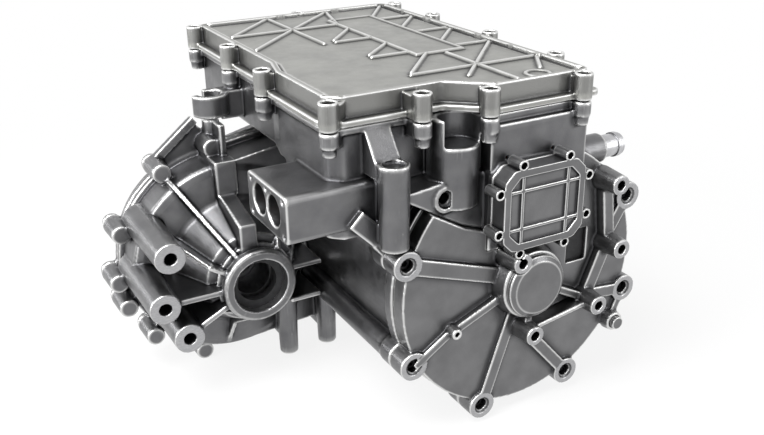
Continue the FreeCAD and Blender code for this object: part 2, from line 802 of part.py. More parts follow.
def access_cover():
    """The small cover of the terminal box: a hollow pan with a raised frame and cross ribs."""
    back = "(access_pad_front - access_seal_thickness)"
    depth = f"{back} - access_face"
    solids = [plate("access_pan", "XZ_Plane", access_outline("0"), depth, "access_face", "access_corner")]
    for x, z in ACCESS_SCREWS:
        solids.append(cylinder("access_ear_radius", depth, x, "access_face", z))
    pan = cut(fuse(solids), [
        plate("access_dish", "XZ_Plane", access_outline("-access_frame"), "access_dish", "access_face", "4"),
        plate("access_inside", "XZ_Plane", access_outline("-access_wall - 5"), depth, "access_face + 5", "4"),
    ])
    rib_face, rib_floor = "access_face + access_rib_sink", "access_face + access_dish + 0.8"
    ribs = [bar_between(start, end, "access_rib_width", rib_face, rib_floor) for start, end in ACCESS_RIBS]
    whole = fuse([pan, *ribs])
    tools = []
    for x, z in ACCESS_SCREWS:
        tools.append(cylinder("access_screw_pocket", "access_head_depth", x, "access_face", z))
        tools.append(cylinder("access_hole_radius", "40", x, "access_face", z))
    finish(cut(whole, tools), "access_cover")
    seal = plate("access_seal_plate", "XZ_Plane", access_outline("-0.5"), "access_seal_thickness", back,
                 "access_corner")
    hole = plate("access_seal_hole", "XZ_Plane", access_outline("-7.5"), "access_seal_thickness", back, "4")
    finish(cut(seal, [hole]), "access_seal")


STUBS = [("34", "88"), ("120", "92")]
SIDE_BOSS = ("side_boss_x", "side_boss_y", "side_boss_z")
BLOCK_HOLES = [("35", "99"), ("35", "71"), ("97", "99"), ("97", "71"), ("67", "99")]


def motor_housing():
    """The main casting: motor barrel, inverter tub, terminal box, connector block and columns."""
    left, lower_left, bottom, lower_right, right, upper_right = COVER_BOLTS
    solids = [
        cylinder("barrel_radius", "barrel_end - cover_back", y="cover_back"),
        cylinder("barrel_flange_radius", "barrel_flange_length", y="cover_back"),
        cylinder("barrel_flange_radius", "barrel_flange_length", y="barrel_end - barrel_flange_length"),
        plate("tub_block", "XY_Plane", tub_outline("0"), "tub_top - tub_skirt", "tub_skirt", "tub_corner"),
        plate("tub_rim", "XY_Plane", tub_outline("tub_rim_reach"), "tub_rim_height",
              "tub_top - tub_rim_height",
              "tub_corner"),
        block(("saddle_left", "tub_right"), ("saddle_front", "barrel_end"), ("saddle_bottom", "tub_top")),
        block(("box_left", "box_right"), ("box_front", "box_back"), ("box_bottom", "tub_top - 8")),
        plate("access_pad", "XZ_Plane", access_outline("0"), "box_front - access_pad_front + overlap",
              "access_pad_front",
              "access_corner"),
        # the tower that carries the connector block down to the barrel
        plate("tower", "XY_Plane", [("tower_left", "tower_front + tower_chamfer"),
                                    ("tower_left", "tower_back"),
                                    ("tower_right", "tower_back"), ("tower_right", "tower_front"),
                                    ("tower_left + tower_chamfer", "tower_front")],
              "tower_top - tower_bottom", "tower_bottom", "tower_corner"),
        plate("connector_block", "YZ_Plane", [("block_near", "block_bottom"), ("block_far", "block_bottom"),
                                              ("block_far", "block_top"), ("block_near", "block_top")],
              "block_root_x - block_face_x", "block_face_x", "block_corner"),
        # front left column with its web to the tub and its brace to the cover screw
        cone("column_radius - column_draft", "column_radius", "column_top - column_bottom", "column_x",
             "column_y",
             "column_bottom", "z"),
        plate("column_web", "YZ_Plane", [("column_y + 4", "column_top - 14"),
                                         ("tub_front + 4", "column_top - 14"),
                                         ("tub_front + 4", "tub_top - 4"), ("tub_front - 4", "tub_top - 4"),
                                         ("column_y + 8", "column_top")],
              "column_web_width", "column_x - column_web_width / 2"),
        block(("column_x - column_rib_width / 2", "column_x + column_rib_width / 2"),
              ("column_y", "tub_front + 4"),
              ("column_bottom + 6", "column_top")),
        bar_between(("-146", "78"), ("-112", "44"), "16", "cover_back + 1", "tub_front"),
        bar_between(("-128", "56"), left, "12", "cover_back + 0.3", "tub_front"),
        # scooped column between two lid screws
        cylinder("scoop_column_radius", "tub_top - scoop_column_bottom", "scoop_column_x", "scoop_column_y",
                 "scoop_column_bottom", "z"),
    ]
    for x, z in COVER_BOLTS:
        solids.append(cylinder("cover_ear_radius", "barrel_flange_length + bolt_rib_stop", x, "cover_back",
                               z))
        solids.append(cone("cover_ear_radius", "ear_taper_end", "ear_taper", x,
                           "cover_back + barrel_flange_length + bolt_rib_stop", z))
    for x, z in COVER_BOLTS[1:]:
        solids.append(cylinder("bolt_rib_radius", "barrel_end - cover_back - bolt_rib_stop", x, "cover_back",
                               z))
    for x, y, foot_x, foot_y in LID_BOSSES:
        solids.append(cylinder("lid_boss_radius", "lid_column_head", x, y, "tub_top - lid_column_head", "z"))
        solids.append(cylinder("lid_column_radius", "tub_top - lid_column_bottom", x, y, "lid_column_bottom",
                               "z"))
        solids.append(bar_on_top((x, y), (foot_x, foot_y), "lid_column_radius * 2 - 2",
                                 "lid_column_bottom + 4", "tub_top"))
    # coolant stub bosses on the right wall
    for y, z in STUBS:
        solids.append(cylinder("stub_boss_radius", "stub_face - stub_boss_start", "stub_boss_start", y, z,
                               "x"))
    # screwed boss set back beside the terminal box
    solids.append(cylinder("side_boss_radius", "side_boss_length", *SIDE_BOSS))
    solids.append(plate("front_web", "XZ_Plane", [
        ("web_left", "web_left_z"), ("shoulder_x", "shoulder_z + 2 * seal_gap"),
        ("box_left + overlap", "shoulder_box_z + 2 * seal_gap"), ("box_left + overlap", "side_boss_z + 16"),
        ("side_boss_x - 8", "side_boss_z + 13"), ("web_left",
                                                  "web_left_z + 4.1")], "web_thickness", "web_front"))
    # the eye beside the tub, open towards the rear left
    solids.append(cylinder("eye_radius", "eye_height", "eye_x", "eye_y", "eye_z", "z"))
    solids.append(block(("eye_x + 8", "eye_x + 40"), ("eye_y - 7", "eye_y + 13"),
                        ("eye_z - 5", "eye_z + eye_height + overlap")))
    tools = [
        cylinder("stator_radius + slip_gap", "barrel_end - bearing_wall - cover_back", y="cover_back"),
        cylinder("motor_bearing_outer + slip_gap", "motor_bearing_width", y="barrel_end - bearing_wall"),
        cylinder("shaft_radius + 4", "bearing_wall + 10", y="barrel_end - bearing_wall"),
        plate("tub_inside", "XY_Plane", tub_outline("-tub_wall"), "tub_top - tub_floor", "tub_floor",
              "tub_corner"),
        block(("box_left + tub_wall", "box_right - tub_wall"), ("box_front + 3", "tub_front - 10"),
              ("box_bottom + 11", "tub_floor + 8")),
        block(("box_left + 12", "box_right - tub_wall"), ("box_front + 10", "tub_front + 12"),
              ("tub_floor", "tub_top")),
        block(("-26", "44"), ("box_front + 3", "cover_back + 6"), ("60", "92")),
        plate("access_hole", "XZ_Plane", access_outline("-9"), "12", "access_pad_front - 2", "4"),
        block(("tub_left + 8", "tub_right - 8"), ("barrel_end", "tub_rear - 8"), ("tub_skirt", "tub_under")),
        cylinder("column_cup_radius", "column_cup_depth", "column_x", "column_y",
                 "column_top - column_cup_depth", "z"),
        cylinder("scoop_radius", "30", "scoop_column_x", "scoop_y", "scoop_floor", "z"),
        block(("scoop_column_x - scoop_radius", "scoop_column_x + scoop_radius"), ("-10", "scoop_y"),
              ("scoop_floor", "tub_top + 5")),
        cylinder("side_hole_radius", "side_hole_depth", *SIDE_BOSS),
        cylinder("side_counterbore", "side_counterbore_depth", *SIDE_BOSS),
        cylinder("bearing_relief_radius", "bearing_relief_depth",
                 y="barrel_end - bearing_wall + motor_bearing_width - 1"),
        cylinder("eye_bore", "eye_height + 10", "eye_x", "eye_y", "eye_z - 2", "z"),
        block(("eye_x - 25", "eye_x - 2"), ("eye_y", "eye_y + 22"), ("eye_z - 2", "eye_z + eye_height + 2")),
    ]
    for y, z in STUBS:
        tools.append(cylinder("stub_shank_radius + slip_gap", "stub_hole_depth + 0.2",
                              "stub_face - stub_hole_depth", y, z,
                              "x"))
    for x, z in COVER_BOLTS:
        tools.append(cylinder("screw_hole", "screw_hole_depth", x, "cover_back", z))
    for x, y, _, _ in LID_BOSSES:
        tools.append(cylinder("screw_hole", "lid_hole_depth", x, y, "tub_top - lid_hole_depth", "z"))
    for x, z in ACCESS_SCREWS:
        tools.append(cylinder("access_hole_radius", "access_hole_depth", x, "access_pad_front", z))
    for side in ("-0.5", "0.5"):
        y = f"port_y + ({side}) * port_spacing"
        tools.append(cylinder("port_radius", "port_depth", "block_face_x", y, "port_z", "x"))
        tools.append(cylinder("contact_hole_radius", "contact_hole_depth", "block_face_x + port_depth", y,
                              "port_z", "x"))
    for y, z in BLOCK_HOLES:
        tools.append(cylinder("block_hole_radius", "block_hole_depth", "block_face_x", y, z, "x"))
    for angle in MOTOR_FLANGE_ANGLES:
        x, z = around("motor_flange_circle", angle)
        tools.append(cylinder("screw_hole", "18", x, "barrel_end - 18", z))
    finish(cut(fuse(solids), tools), "motor_housing")
    contacts = []
    for side in ("-0.5", "0.5"):
        y = f"port_y + ({side}) * port_spacing"
        disc_back = "block_face_x + port_depth + contact_hole_depth"
        contacts.append(fuse([
            cylinder("contact_hole_radius - slip_gap", "contact_thickness",
                     f"{disc_back} - contact_thickness", y, "port_z",
                     "x"),
            cylinder("contact_pin_radius", "contact_hole_depth - contact_thickness",
                     "block_face_x + port_depth + overlap",
                     y, "port_z", "x"),
        ]))
    finish(group(contacts, "contacts"), "hv_contacts")
    stubs = []
    for y, z in STUBS:
        pipe = fuse([
            cylinder("stub_shank_radius", "stub_shank_length", "stub_face - stub_shank_length", y, z, "x"),
            cylinder("stub_radius", "stub_length", "stub_face", y, z, "x"),
            cylinder("stub_bead_radius", "stub_bead_length", "stub_bead_start", y, z, "x"),
        ])
        stubs.append(cut(pipe, [cylinder("stub_bore", "stub_face + stub_length + 2 - stub_bore_start",
                                         "stub_bore_start",
                                         y, z, "x")]))
    finish(group(stubs, "stubs"), "coolant_stubs")


MOTOR_FLANGE_ANGLES = [str(60 * index + 28) for index in range(6)]
FLANGE_ANGLES = ["93.6", "121.5", "158", "184", "199", "222", "252"]
FLANGE_BOSSES = [around("flange_bolt_circle", angle, *OUTPUT) for angle in FLANGE_ANGLES]
MOTOR_SIDE_BOSSES = [around("2 * motor_flange_radius + 10", str(angle)) for angle in (-75, -30, 10, 45)]
MOUNT_BOSSES = [("-259", "24"), ("-268", "-21"), ("-250", "-54.5")]
DOWELS = [around("2 * bell_flange_radius - 8", "140", *OUTPUT), around("2 * motor_flange_radius - 14", "-52")]
DRAIN = ("-120", "-78")
FILL = ("-110", "45")
BREATHER = ("-60", "66")
# Webs of the bell, each from an angle and corners of (radius, station)
SPOKE_CORNERS = [("ring_radius - 5", "ring_face + 8"), ("ring_radius + 1", "ring_face + 8"),
                 ("62", "bell_face - 14"),
                 ("bell_flange_radius - 8", "bell_face + 1"), ("bell_flange_radius - 6", "bell_face + 14"),
                 ("bell_flange_radius - 6", "gearbox_split - 3"), ("ring_radius - 5", "gearbox_split - 3")]
WEBS = [(angle, SPOKE_CORNERS) for angle in (20, 50, 222, 262, 305, 340)]
WEBS.append((121.5, [("ring_radius - 5", "147"), ("36", "147"), ("84", "195"), ("95", "205"), ("100", "223"),
                     ("100", "gearbox_split - 8"), ("ring_radius - 5", "gearbox_split - 8")]))
WEBS.append((150, [("ring_radius - 5", "ring_face + 5"), ("50", "ring_face + 7"), ("58", "163"),
                   ("67", "180"), ("84", "202"),
                   ("bell_flange_radius - 6", "216"), ("bell_flange_radius - 6", "gearbox_split - 3"),
                   ("ring_radius - 5", "gearbox_split - 3")]))


def web(angle, corners, width="spoke_width"):
    """A radial web of the bell: low at the output ring and high at the flange."""
    body = plate("web", "XY_Plane", corners, width, f"-({width}) / 2")
    body.Placement = Placement(Vector(), Rotation(Vector(0, -1, 0), angle))
    seat(body, f"output_x + ({width}) / 2 * sin({angle})", "0", f"output_z - ({width}) / 2 * cos({angle})")
    return body


BELL = [("ring_face", "0"), ("ring_face", "ring_radius - 2"), ("ring_face + 2", "ring_radius"),
        ("ring_face + 9", "ring_radius"), ("ring_face + 10", "ring_radius - 3"), ("ring_face + 13",
                                                                                  "ring_radius - 3"),
        ("ring_face + 14", "ring_radius + 2"), ("ring_face + 17", "ring_radius + 2"), ("ring_face + 18",
                                                                                       "ring_radius"),
        ("ring_face + 21", "ring_radius"), ("ring_face + 23", "ring_radius + 8"), ("bell_face - 5", "59"),
        ("bell_face - 2", "63"), ("bell_face", "86"), ("bell_face + 2", "91"), ("bell_face + 5", "93.5"),
        ("bell_face + 36", "bell_flange_radius - 4"), ("gearbox_split",
                                                       "bell_flange_radius - 4"), ("gearbox_split", "0")]
BELL_INSIDE = [("183.5", "0"), ("183.5", "45"), ("bell_face - 5", "53"), ("bell_face + 2", "54"),
               ("bell_face + 6", "58"), ("bell_face + 7", "84"), ("bell_face + 25.2",
                                                                  "bell_flange_radius - 8"),
               ("bell_face + 25.2", "0")]


def gearbox_housing():
    """The bell-shaped half of the gearbox, between the output ring and the flange."""
    out_x, out_z = OUTPUT
    back = "(barrel_end + seal_gap)"
    hollow_start = "(gear_station - bell_depth)"
    solids = [
        two_circle_plate("bell_flange", "bell_flange_radius", "motor_flange_radius", "flange_thickness",
                         "gearbox_split - flange_thickness"),
        two_circle_plate("bell_body", "bell_flange_radius - 6", "motor_flange_radius - 6",
                         "gearbox_split - flange_thickness - bell_face", "bell_face + 2"),
        turned("bell", BELL, out_x, "0", out_z),
        cylinder("motor_flange_radius - 6", f"{hollow_start} - {back}", y=back),
        cylinder("counter_boss_radius", f"{hollow_start} - {back}", COUNTER_X, back, COUNTER_Z),
        block(("-150", "-108"), ("150", f"{back} + 20"), ("-19", "-15")),
        block(("-150", "-108"), ("150", f"{back} + 20"), ("-52", "-48")),
    ]
    for x, z in FLANGE_BOSSES:
        solids.append(cone("flange_boss_radius - 1", "flange_boss_radius",
                           "gearbox_split - flange_boss_face", x,
                           "flange_boss_face", z))
    for angle in FLANGE_ANGLES:
        solids.append(bar_between(around("flange_bolt_circle", angle, *OUTPUT),
                                  around("2 * bell_flange_radius - 20", angle, *OUTPUT),
                                  "12", "flange_boss_face + 6", "gearbox_split"))
    for x, z in MOTOR_SIDE_BOSSES:
        solids.append(cylinder("flange_boss_radius", "motor_boss_length", x,
                               "gearbox_split - motor_boss_length", z))
    # feet under the bell, each with a web to its floor
    for x in ("-140", "-98.5"):
        solids.append(cone("foot_radius", "foot_radius + foot_draft", "foot_length", x, "foot_y", "foot_z",
                           "z"))
        solids.append(block((f"{x} - foot_web_width / 2", f"{x} + foot_web_width / 2"),
                            ("foot_y", "foot_web_back"),
                            ("foot_web_bottom", "foot_web_top")))
    for x, z in MOUNT_BOSSES:
        solids.append(cone("mount_boss_radius", "mount_boss_radius + mount_boss_draft", "mount_boss_length",
                           x, "mount_face", z))
    for x, z in MOUNT_BOSSES[1:]:
        solids.append(bar_between((x, z), OUTPUT, "mount_web_width", "ring_face + 5",
                                  "mount_face + mount_boss_length + 1"))
    for angle, corners in WEBS:
        solids.append(web(angle, corners))
    # the raised channel above the output ring, in line with the topmost flange screw
    solids.append(plate("channel", "YZ_Plane", [("150", "output_z + 30"), ("150", "output_z + 55"),
                                                ("203", "output_z + 68"),
                                                ("209", "output_z + 92"), ("gearbox_split - 3",
                                                                           "output_z + 92"),
                                                ("gearbox_split - 3",
                                                 "output_z + 30")], "16", "output_x - 12"))
    # struts up to the eye beside the tub
    solids.append(cylinder("8", "56", "-181.5", "242", "50", "z"))
    solids.append(block(("-183", "-177"), ("215", "gearbox_split"), ("50", "106")))
    solids.append(bar_between(("-238", "72"), ("-196", "106"), "8", "gearbox_split - 8", "gearbox_split"))
    solids.append(bar_between(("-222", "56"), ("-186", "92"), "36", "gearbox_split - 6", "gearbox_split"))
    tools = [
        two_circle_plate("bell_inside", "bell_flange_radius - bell_wall", "motor_flange_radius - motor_wall",
                         "60",
                         hollow_start),
        turned("bell_hollow", BELL_INSIDE, out_x, "0", out_z),
        cylinder("diff_bearing_outer + slip_gap", "20", out_x, "165", out_z),
        cylinder("33", "4", out_x, "162", out_z),
        cylinder("ring_bore", "20", out_x, "ring_face", out_z),
        cylinder("ring_bore + 1", "18", out_x, "ring_face + 10", out_z),
        cylinder("small_bearing_outer + slip_gap", "60", COUNTER_X, "212", COUNTER_Z),
        cylinder("shaft_radius + 6", "60", y=back),
        cylinder("22", "6", COUNTER_X, "210", COUNTER_Z),
        cylinder("barrel_radius + running_gap + 4.5", "60", y="145"),
    ]
    for x, z in FLANGE_BOSSES + MOTOR_SIDE_BOSSES:
        tools.append(cylinder("screw_hole", "gearbox_hole_depth", x, "gearbox_split - gearbox_hole_depth", z))
    for x, z in MOUNT_BOSSES:
        tools.append(cylinder("mount_hole_radius", "mount_hole_depth", x, "mount_face", z))
    for x, z in COVER_BOLTS[:3]:
        tools.append(cylinder("bolt_rib_radius + running_gap", "60", x, "145", z))
    for angle in MOTOR_FLANGE_ANGLES:
        x, z = around("motor_flange_circle", angle)
        tools.append(cylinder("screw_hole", "60", x, back, z))
        tools.append(cylinder("cover_screw_pocket", "60", x, "barrel_end + 14", z))
    for x, z in DOWELS:
        tools.append(cylinder("dowel_radius + slip_gap", "dowel_hole_depth", x,
                              "gearbox_split - dowel_hole_depth", z))
    finish(cut(fuse(solids), tools), "gearbox_housing")


def gearbox_cover():
    """The far half of the gearbox: a flange, a shoulder and a narrower ribbed pan with bearing bosses."""
    out_x, out_z = OUTPUT
    start = "(gearbox_split + seal_gap)"
    inner = "(gear_station + seal_gap)"
    wall = f"({inner} + cover_depth)"
    solids = [
        two_circle_plate("pan_flange", "bell_flange_radius", "motor_flange_radius", "flange_thickness",
                         start),
        two_circle_plate("pan_shoulder", "bell_flange_radius - 4", "motor_flange_radius - 6",
                         "gear_station - gearbox_split", start),
        two_circle_plate("pan_body", "pan_output_radius", "pan_motor_radius", "cover_depth + seal_gap + 1",
                         "gear_station - 1"),
        cone("bell_flange_radius - 4", "pan_output_radius", "pan_cone", out_x, inner, out_z),
        cone("motor_flange_radius - 6", "pan_motor_radius", "pan_motor_cone", "0", inner, "0"),
        cylinder("ring_radius", "far_ring_length", out_x, wall, out_z),
        cone("ring_radius + 14", "ring_radius + 4", "seat_cone_height", out_x, wall, out_z),
        cone("seat_cone_start", "seat_cone_end", "seat_cone_height", "0", wall, "0"),
        cone("seat_cone_start", "seat_cone_end", "seat_cone_height", COUNTER_X, wall, COUNTER_Z),
    ]
    for x, z in FLANGE_BOSSES + MOTOR_SIDE_BOSSES:
        solids.append(cone("flange_boss_radius", "flange_boss_radius - 1", "flange_thickness", x, start, z))
    for angle in range(30, 390, 45):
        x, z = around("2 * pan_output_radius - 8", str(angle), *OUTPUT)
        solids.append(bar_between(OUTPUT, (x, z), "pan_rib_width", wall, f"{wall} + pan_rib_height"))
    for angle in range(-100, 125, 45):
        x, z = around("2 * pan_motor_radius - 8", str(angle))
        solids.append(bar_between(MOTOR, (x, z), "pan_rib_width", wall, f"{wall} + pan_rib_height"))
    hollow = cut(fuse(solids), [
        two_circle_plate("shoulder_inside", "bell_flange_radius - bell_wall",
                         "motor_flange_radius - motor_wall",
                         "gear_station - 2 - gearbox_split", start),
        two_circle_plate("pan_inside", "pan_output_radius - case_wall", "pan_motor_radius - case_wall",
                         "cover_depth - case_wall + 3", f"{inner} - 3"),
    ])
    seats = [
        ring("diff_bearing_outer + slip_gap", "diff_bearing_outer + 6", "cover_depth - 11", out_x,
             f"{inner} + 11", out_z),
        ring("small_bearing_outer + slip_gap", "seat_ring_radius", "seat_ring_length", "0",
             f"{inner} + seat_ring_start", "0"),
        ring("small_bearing_outer + slip_gap", "seat_ring_radius", "seat_ring_length", COUNTER_X,
             f"{inner} + seat_ring_start", COUNTER_Z),
    ]
    tools = [
        cylinder("36", "cover_depth - 10", out_x, inner, out_z),
        cylinder("ring_bore", "90", out_x, inner, out_z),
        cylinder("ring_bore + 1", "cover_depth + 12", out_x, inner, out_z),
    ]
    for x, z in FLANGE_BOSSES + MOTOR_SIDE_BOSSES:
        tools.append(cylinder("screw_hole", "30", x, start, z))
    for x, z in DOWELS:
        tools.append(cylinder("dowel_radius + slip_gap", "dowel_hole_depth", x, start, z))
    for radius, (x, z) in (("port_plug_radius", DRAIN), ("port_plug_radius", FILL),
                           ("breather_radius", BREATHER)):
        tools.append(cylinder(f"{radius} + slip_gap", "30", x, f"{inner} + 30", z))
    finish(cut(fuse([hollow, *seats]), tools), "gearbox_cover")


SLOT_COUNT = 36


def motor_parts():
    """Stator, rotor and shaft, on the motor axis."""
    end = "(stack_start + stack_length)"
    slots, bars = [], []
    for index in range(SLOT_COUNT):
        angle = f"{index} * 360 / {SLOT_COUNT}"
        slots.append(bar_between(around("2 * winding_inner - 4", angle), around("2 * winding_outer", angle),
                                 "slot_width", "stack_start", end))
        bars.append(bar_between(around("2 * winding_inner + 2", angle),
                                around("2 * winding_outer - 2", angle),
                                "slot_width - 2 * slot_liner", "stack_start - 4", f"{end} + 4"))
    core = cut(cylinder("stator_radius", "stack_length", y="stack_start"),
               [cylinder("stator_bore", "stack_length", y="stack_start"), *slots])
    finish(core, "stator_core")
    near = turned("near_head", [
        ("stack_start", "winding_inner"), ("stack_start", "winding_outer"),
        ("stack_start - winding_overhang + 3", "winding_outer"), ("stack_start - winding_overhang",
                                                                  "winding_outer - 3"),
        ("stack_start - winding_overhang", "winding_inner + 3"), ("stack_start - winding_overhang + 3",
                                                                  "winding_inner")])
    far = turned("far_head", [
        (end, "winding_inner"), (end, "winding_outer"), (f"{end} + winding_overhang - 3", "winding_outer"),
        (f"{end} + winding_overhang", "winding_outer - 3"), (f"{end} + winding_overhang",
                                                             "winding_inner + 3"),
        (f"{end} + winding_overhang - 3", "winding_inner")])
    finish(fuse([near, far, *bars]), "stator_windings")
    rotor_outer = "(stator_bore - air_gap)"
    magnets, pockets = [], []
    for index in range(SIZES["magnet_count"]):
        angle = f"{index} * 360 / magnet_count"
        for lean in ("-magnet_lean", "magnet_lean"):
            near = around(f"2 * {rotor_outer} - 30", f"{angle} + ({lean}) * 0.35")
            far = around(f"2 * {rotor_outer} - 7", f"{angle} + ({lean})")
            magnets.append(bar_between(near, far, "magnet_thickness", "stack_start + 1", f"{end} - 1"))
            pockets.append(bar_between(near, far, "magnet_thickness + 2 * magnet_gap", "stack_start", end))
    core = cut(cylinder(rotor_outer, "stack_length", y="stack_start"),
               [cylinder("shaft_radius + slip_gap", "stack_length", y="stack_start"), *pockets])
    finish(core, "rotor_core")
    finish(group(magnets, "magnets"), "rotor_magnets")
    plates = [ring("shaft_radius + slip_gap", f"{rotor_outer} - 2", "end_plate_thickness", y=station)
              for station in ("stack_start - end_plate_thickness", end)]
    finish(group(plates, "plates"), "rotor_end_plates")
    finish(turned("motor_shaft", [
        ("shaft_start", "0"), ("shaft_start", "sensor_shaft_radius"), ("cover_back + 1",
                                                                       "sensor_shaft_radius"),
        ("cover_back + 1", "shaft_radius"),
        ("barrel_end", "shaft_radius"), ("barrel_end", "shaft_radius - 1"),
        ("barrel_end + 18", "shaft_radius - 1"), ("barrel_end + 18", "small_bearing_bore + 1"),
        ("gear_station + 28", "small_bearing_bore + 1"), ("gear_station + 28", "small_bearing_bore"),
        ("gear_station + 46", "small_bearing_bore"), ("gear_station + 46", "0")]), "motor_shaft")
    finish(ring("sensor_shaft_radius + slip_gap", "resolver_rotor_outer", "resolver_width",
                y="resolver_start"),
           "resolver_rotor")
    finish(ring("resolver_stator_inner", "resolver_bore - slip_gap", "resolver_width", y="resolver_start"),
           "resolver_stator")
    finish(ring("shaft_radius - 1 + seal_gap", "shaft_radius + 6 - slip_gap", "shaft_seal_width",
                y="barrel_end + 4"),
           "shaft_seal")


def bearing(name, bore, outer, width, places, ball_count):
    """Ball bearings of one size: outer rings, inner rings and balls as three groups."""
    middle = f"(({bore}) + ({outer})) / 2"
    ball = f"(({outer}) - ({bore})) * ball_share"
    groove = f"({ball} + 0.15)"
    outers, inners, balls = [], [], []
    for x, station, z in places:
        center = f"({station}) + ({width}) / 2"
        for kept, low, high in ((outers, f"{middle} + {ball} * 0.55", outer),
                                (inners, bore, f"{middle} - {ball} * 0.55")):
            race = doc.addObject("Part::Torus", "race")
            bind(race, "Radius1", middle)
            bind(race, "Radius2", groove)
            race.Placement = Placement(Vector(), ALONG["y"])
            seat(race, x, center, z)
            kept.append(cut(ring(low, high, width, x, station, z), [race]))
        for index in range(ball_count):
            bead = doc.addObject("Part::Sphere", "ball")
            bind(bead, "Radius", ball)
            angle = f"{index} * 360 / {ball_count}"
            seat(bead, f"({x}) + {middle} * cos({angle})", center, f"({z}) + {middle} * sin({angle})")
            balls.append(bead)
    finish(group(outers, "outers"), f"{name}_outer_rings")
    finish(group(inners, "inners"), f"{name}_inner_rings")
    finish(group(balls, "balls"), f"{name}_balls")


def bearings():
    """The seven bearings of the three shafts."""
    bearing("motor_bearing", "shaft_radius + slip_gap", "motor_bearing_outer", "motor_bearing_width",
            [("0", "cover_back + 2", "0"), ("0", "barrel_end - bearing_wall", "0")], 9)
    far = "gear_station + 30"
    bearing("pinion_bearing", "small_bearing_bore + slip_gap", "small_bearing_outer", "small_bearing_width",
            [("0", far, "0")], 8)
    bearing("countershaft_bearing", "small_bearing_bore + slip_gap", "small_bearing_outer",
            "small_bearing_width",
            [(COUNTER_X, "212", COUNTER_Z), (COUNTER_X, far, COUNTER_Z)], 8)
    bearing("differential_bearing", "diff_bearing_bore + slip_gap", "diff_bearing_outer",
            "diff_bearing_width",
            [("output_x", "165", "output_z"), ("output_x", "gear_station + 27", "output_z")], 11)


def tooth_outline(teeth, module, turn):
    """The closed wire of a spur gear: involute flanks as arcs through three points of each."""
    lean = math.radians(number("pressure_angle"))
    pitch = teeth * module / 2
    base = pitch * math.cos(lean)
    tip = pitch + module
    root = pitch - 1.25 * module
    start = max(base, root + 0.05 * module)
    half_tooth = (math.pi * module / 2 - number("tooth_backlash")) / (2 * pitch)

    def half_angle(radius):
        slope = math.acos(min(1, base / radius))
        return half_tooth + (math.tan(lean) - lean) - (math.tan(slope) - slope)

    def point(radius, angle):
        return Vector(radius * math.cos(angle), 0, radius * math.sin(angle))

    middle = (start + tip) / 2
    pitch_angle = 2 * math.pi / teeth
    edges = []
    for index in range(teeth):
        center = turn + index * pitch_angle
        following = center + pitch_angle - half_angle(start)
        edges.append(Part.LineSegment(point(root, center - half_angle(start)),
                                      point(start, center - half_angle(start))))
        edges.append(Part.Arc(point(start, center - half_angle(start)),
                              point(middle, center - half_angle(middle)),
                              point(tip, center - half_angle(tip))))
        edges.append(Part.Arc(point(tip, center - half_angle(tip)), point(tip, center),
                              point(tip, center + half_angle(tip))))
        edges.append(Part.Arc(point(tip, center + half_angle(tip)), point(middle,
                                                                          center + half_angle(middle)),
                              point(start, center + half_angle(start))))
        edges.append(Part.LineSegment(point(start, center + half_angle(start)),
                                      point(root, center + half_angle(start))))
        edges.append(Part.Arc(point(root, center + half_angle(start)), point(root, center + pitch_angle / 2),
                              point(root, following)))
    return Part.Wire([edge.toShape() for edge in edges])


def gear(label, teeth, module, width, bore, center, station, turn, lightening=None):
    """A spur gear about an axis along Y."""
    teeth, module, width, bore = (number(text) for text in (teeth, module, width, bore))
    solid = Part.Face(tooth_outline(int(round(teeth)), module, turn)).extrude(Vector(0, width, 0))
    solid = solid.cut(Part.makeCylinder(bore, width, Vector(), Vector(0, 1, 0)))
    if lightening:
        low, high, depth = (number(text) for text in lightening)
        dish = Part.makeCylinder(high, depth, Vector(), Vector(0, 1, 0))
        dish = dish.cut(Part.makeCylinder(low, depth, Vector(), Vector(0, 1, 0)))
        solid = solid.cut(dish).cut(dish.translated(Vector(0, width - depth, 0)))
    item = doc.addObject("Part::Feature", label)
    item.Shape = solid
    seat(item, center[0], station, center[1])
    return item


def meshed_turn(teeth, turn, center, mate_teeth, mate_center):
    """The turn that puts a mating gear's teeth in the gaps of a gear whose turn is known."""
    x, z = number(center[0]), number(center[1])
    mate_x, mate_z = number(mate_center[0]), number(mate_center[1])
    heading = math.atan2(mate_z - z, mate_x - x)
    step, mate_step = 2 * math.pi / number(teeth), 2 * math.pi / number(mate_teeth)
    share = ((heading - turn) / step) % 1
    return heading + math.pi - (0.5 - share) * mate_step


def gear_train():
    """Two stages of spur gears from the motor shaft to the final drive gear."""
    counter_turn = meshed_turn("pinion_teeth", 0, MOTOR, "counter_teeth", COUNTER)
    finish(gear("pinion", "pinion_teeth", "stage_one_module", "22", "small_bearing_bore + 1 + slip_gap",
                MOTOR,
                "gear_station + 4", 0), "input_pinion")
    finish(gear("wheel", "counter_teeth", "stage_one_module", "20", "small_bearing_bore + slip_gap", COUNTER,
                "gear_station + 5", counter_turn, ("24", "44", "5")), "countershaft_gear")
    finish(gear("small_pinion", "counter_pinion_teeth", "stage_two_module", "34",
                "small_bearing_bore + slip_gap",
                COUNTER, "gear_station - 36", 0), "countershaft_pinion")
    finish(turned("countershaft", [
        ("212.6", "0"), ("212.6", "small_bearing_bore"), ("gear_station - 2", "small_bearing_bore"),
        ("gear_station - 2", "19"), ("gear_station + 5", "19"), ("gear_station + 5", "small_bearing_bore"),
        ("gear_station + 46", "small_bearing_bore"), ("gear_station + 46", "0")],
        COUNTER_X, "0", COUNTER_Z), "countershaft")


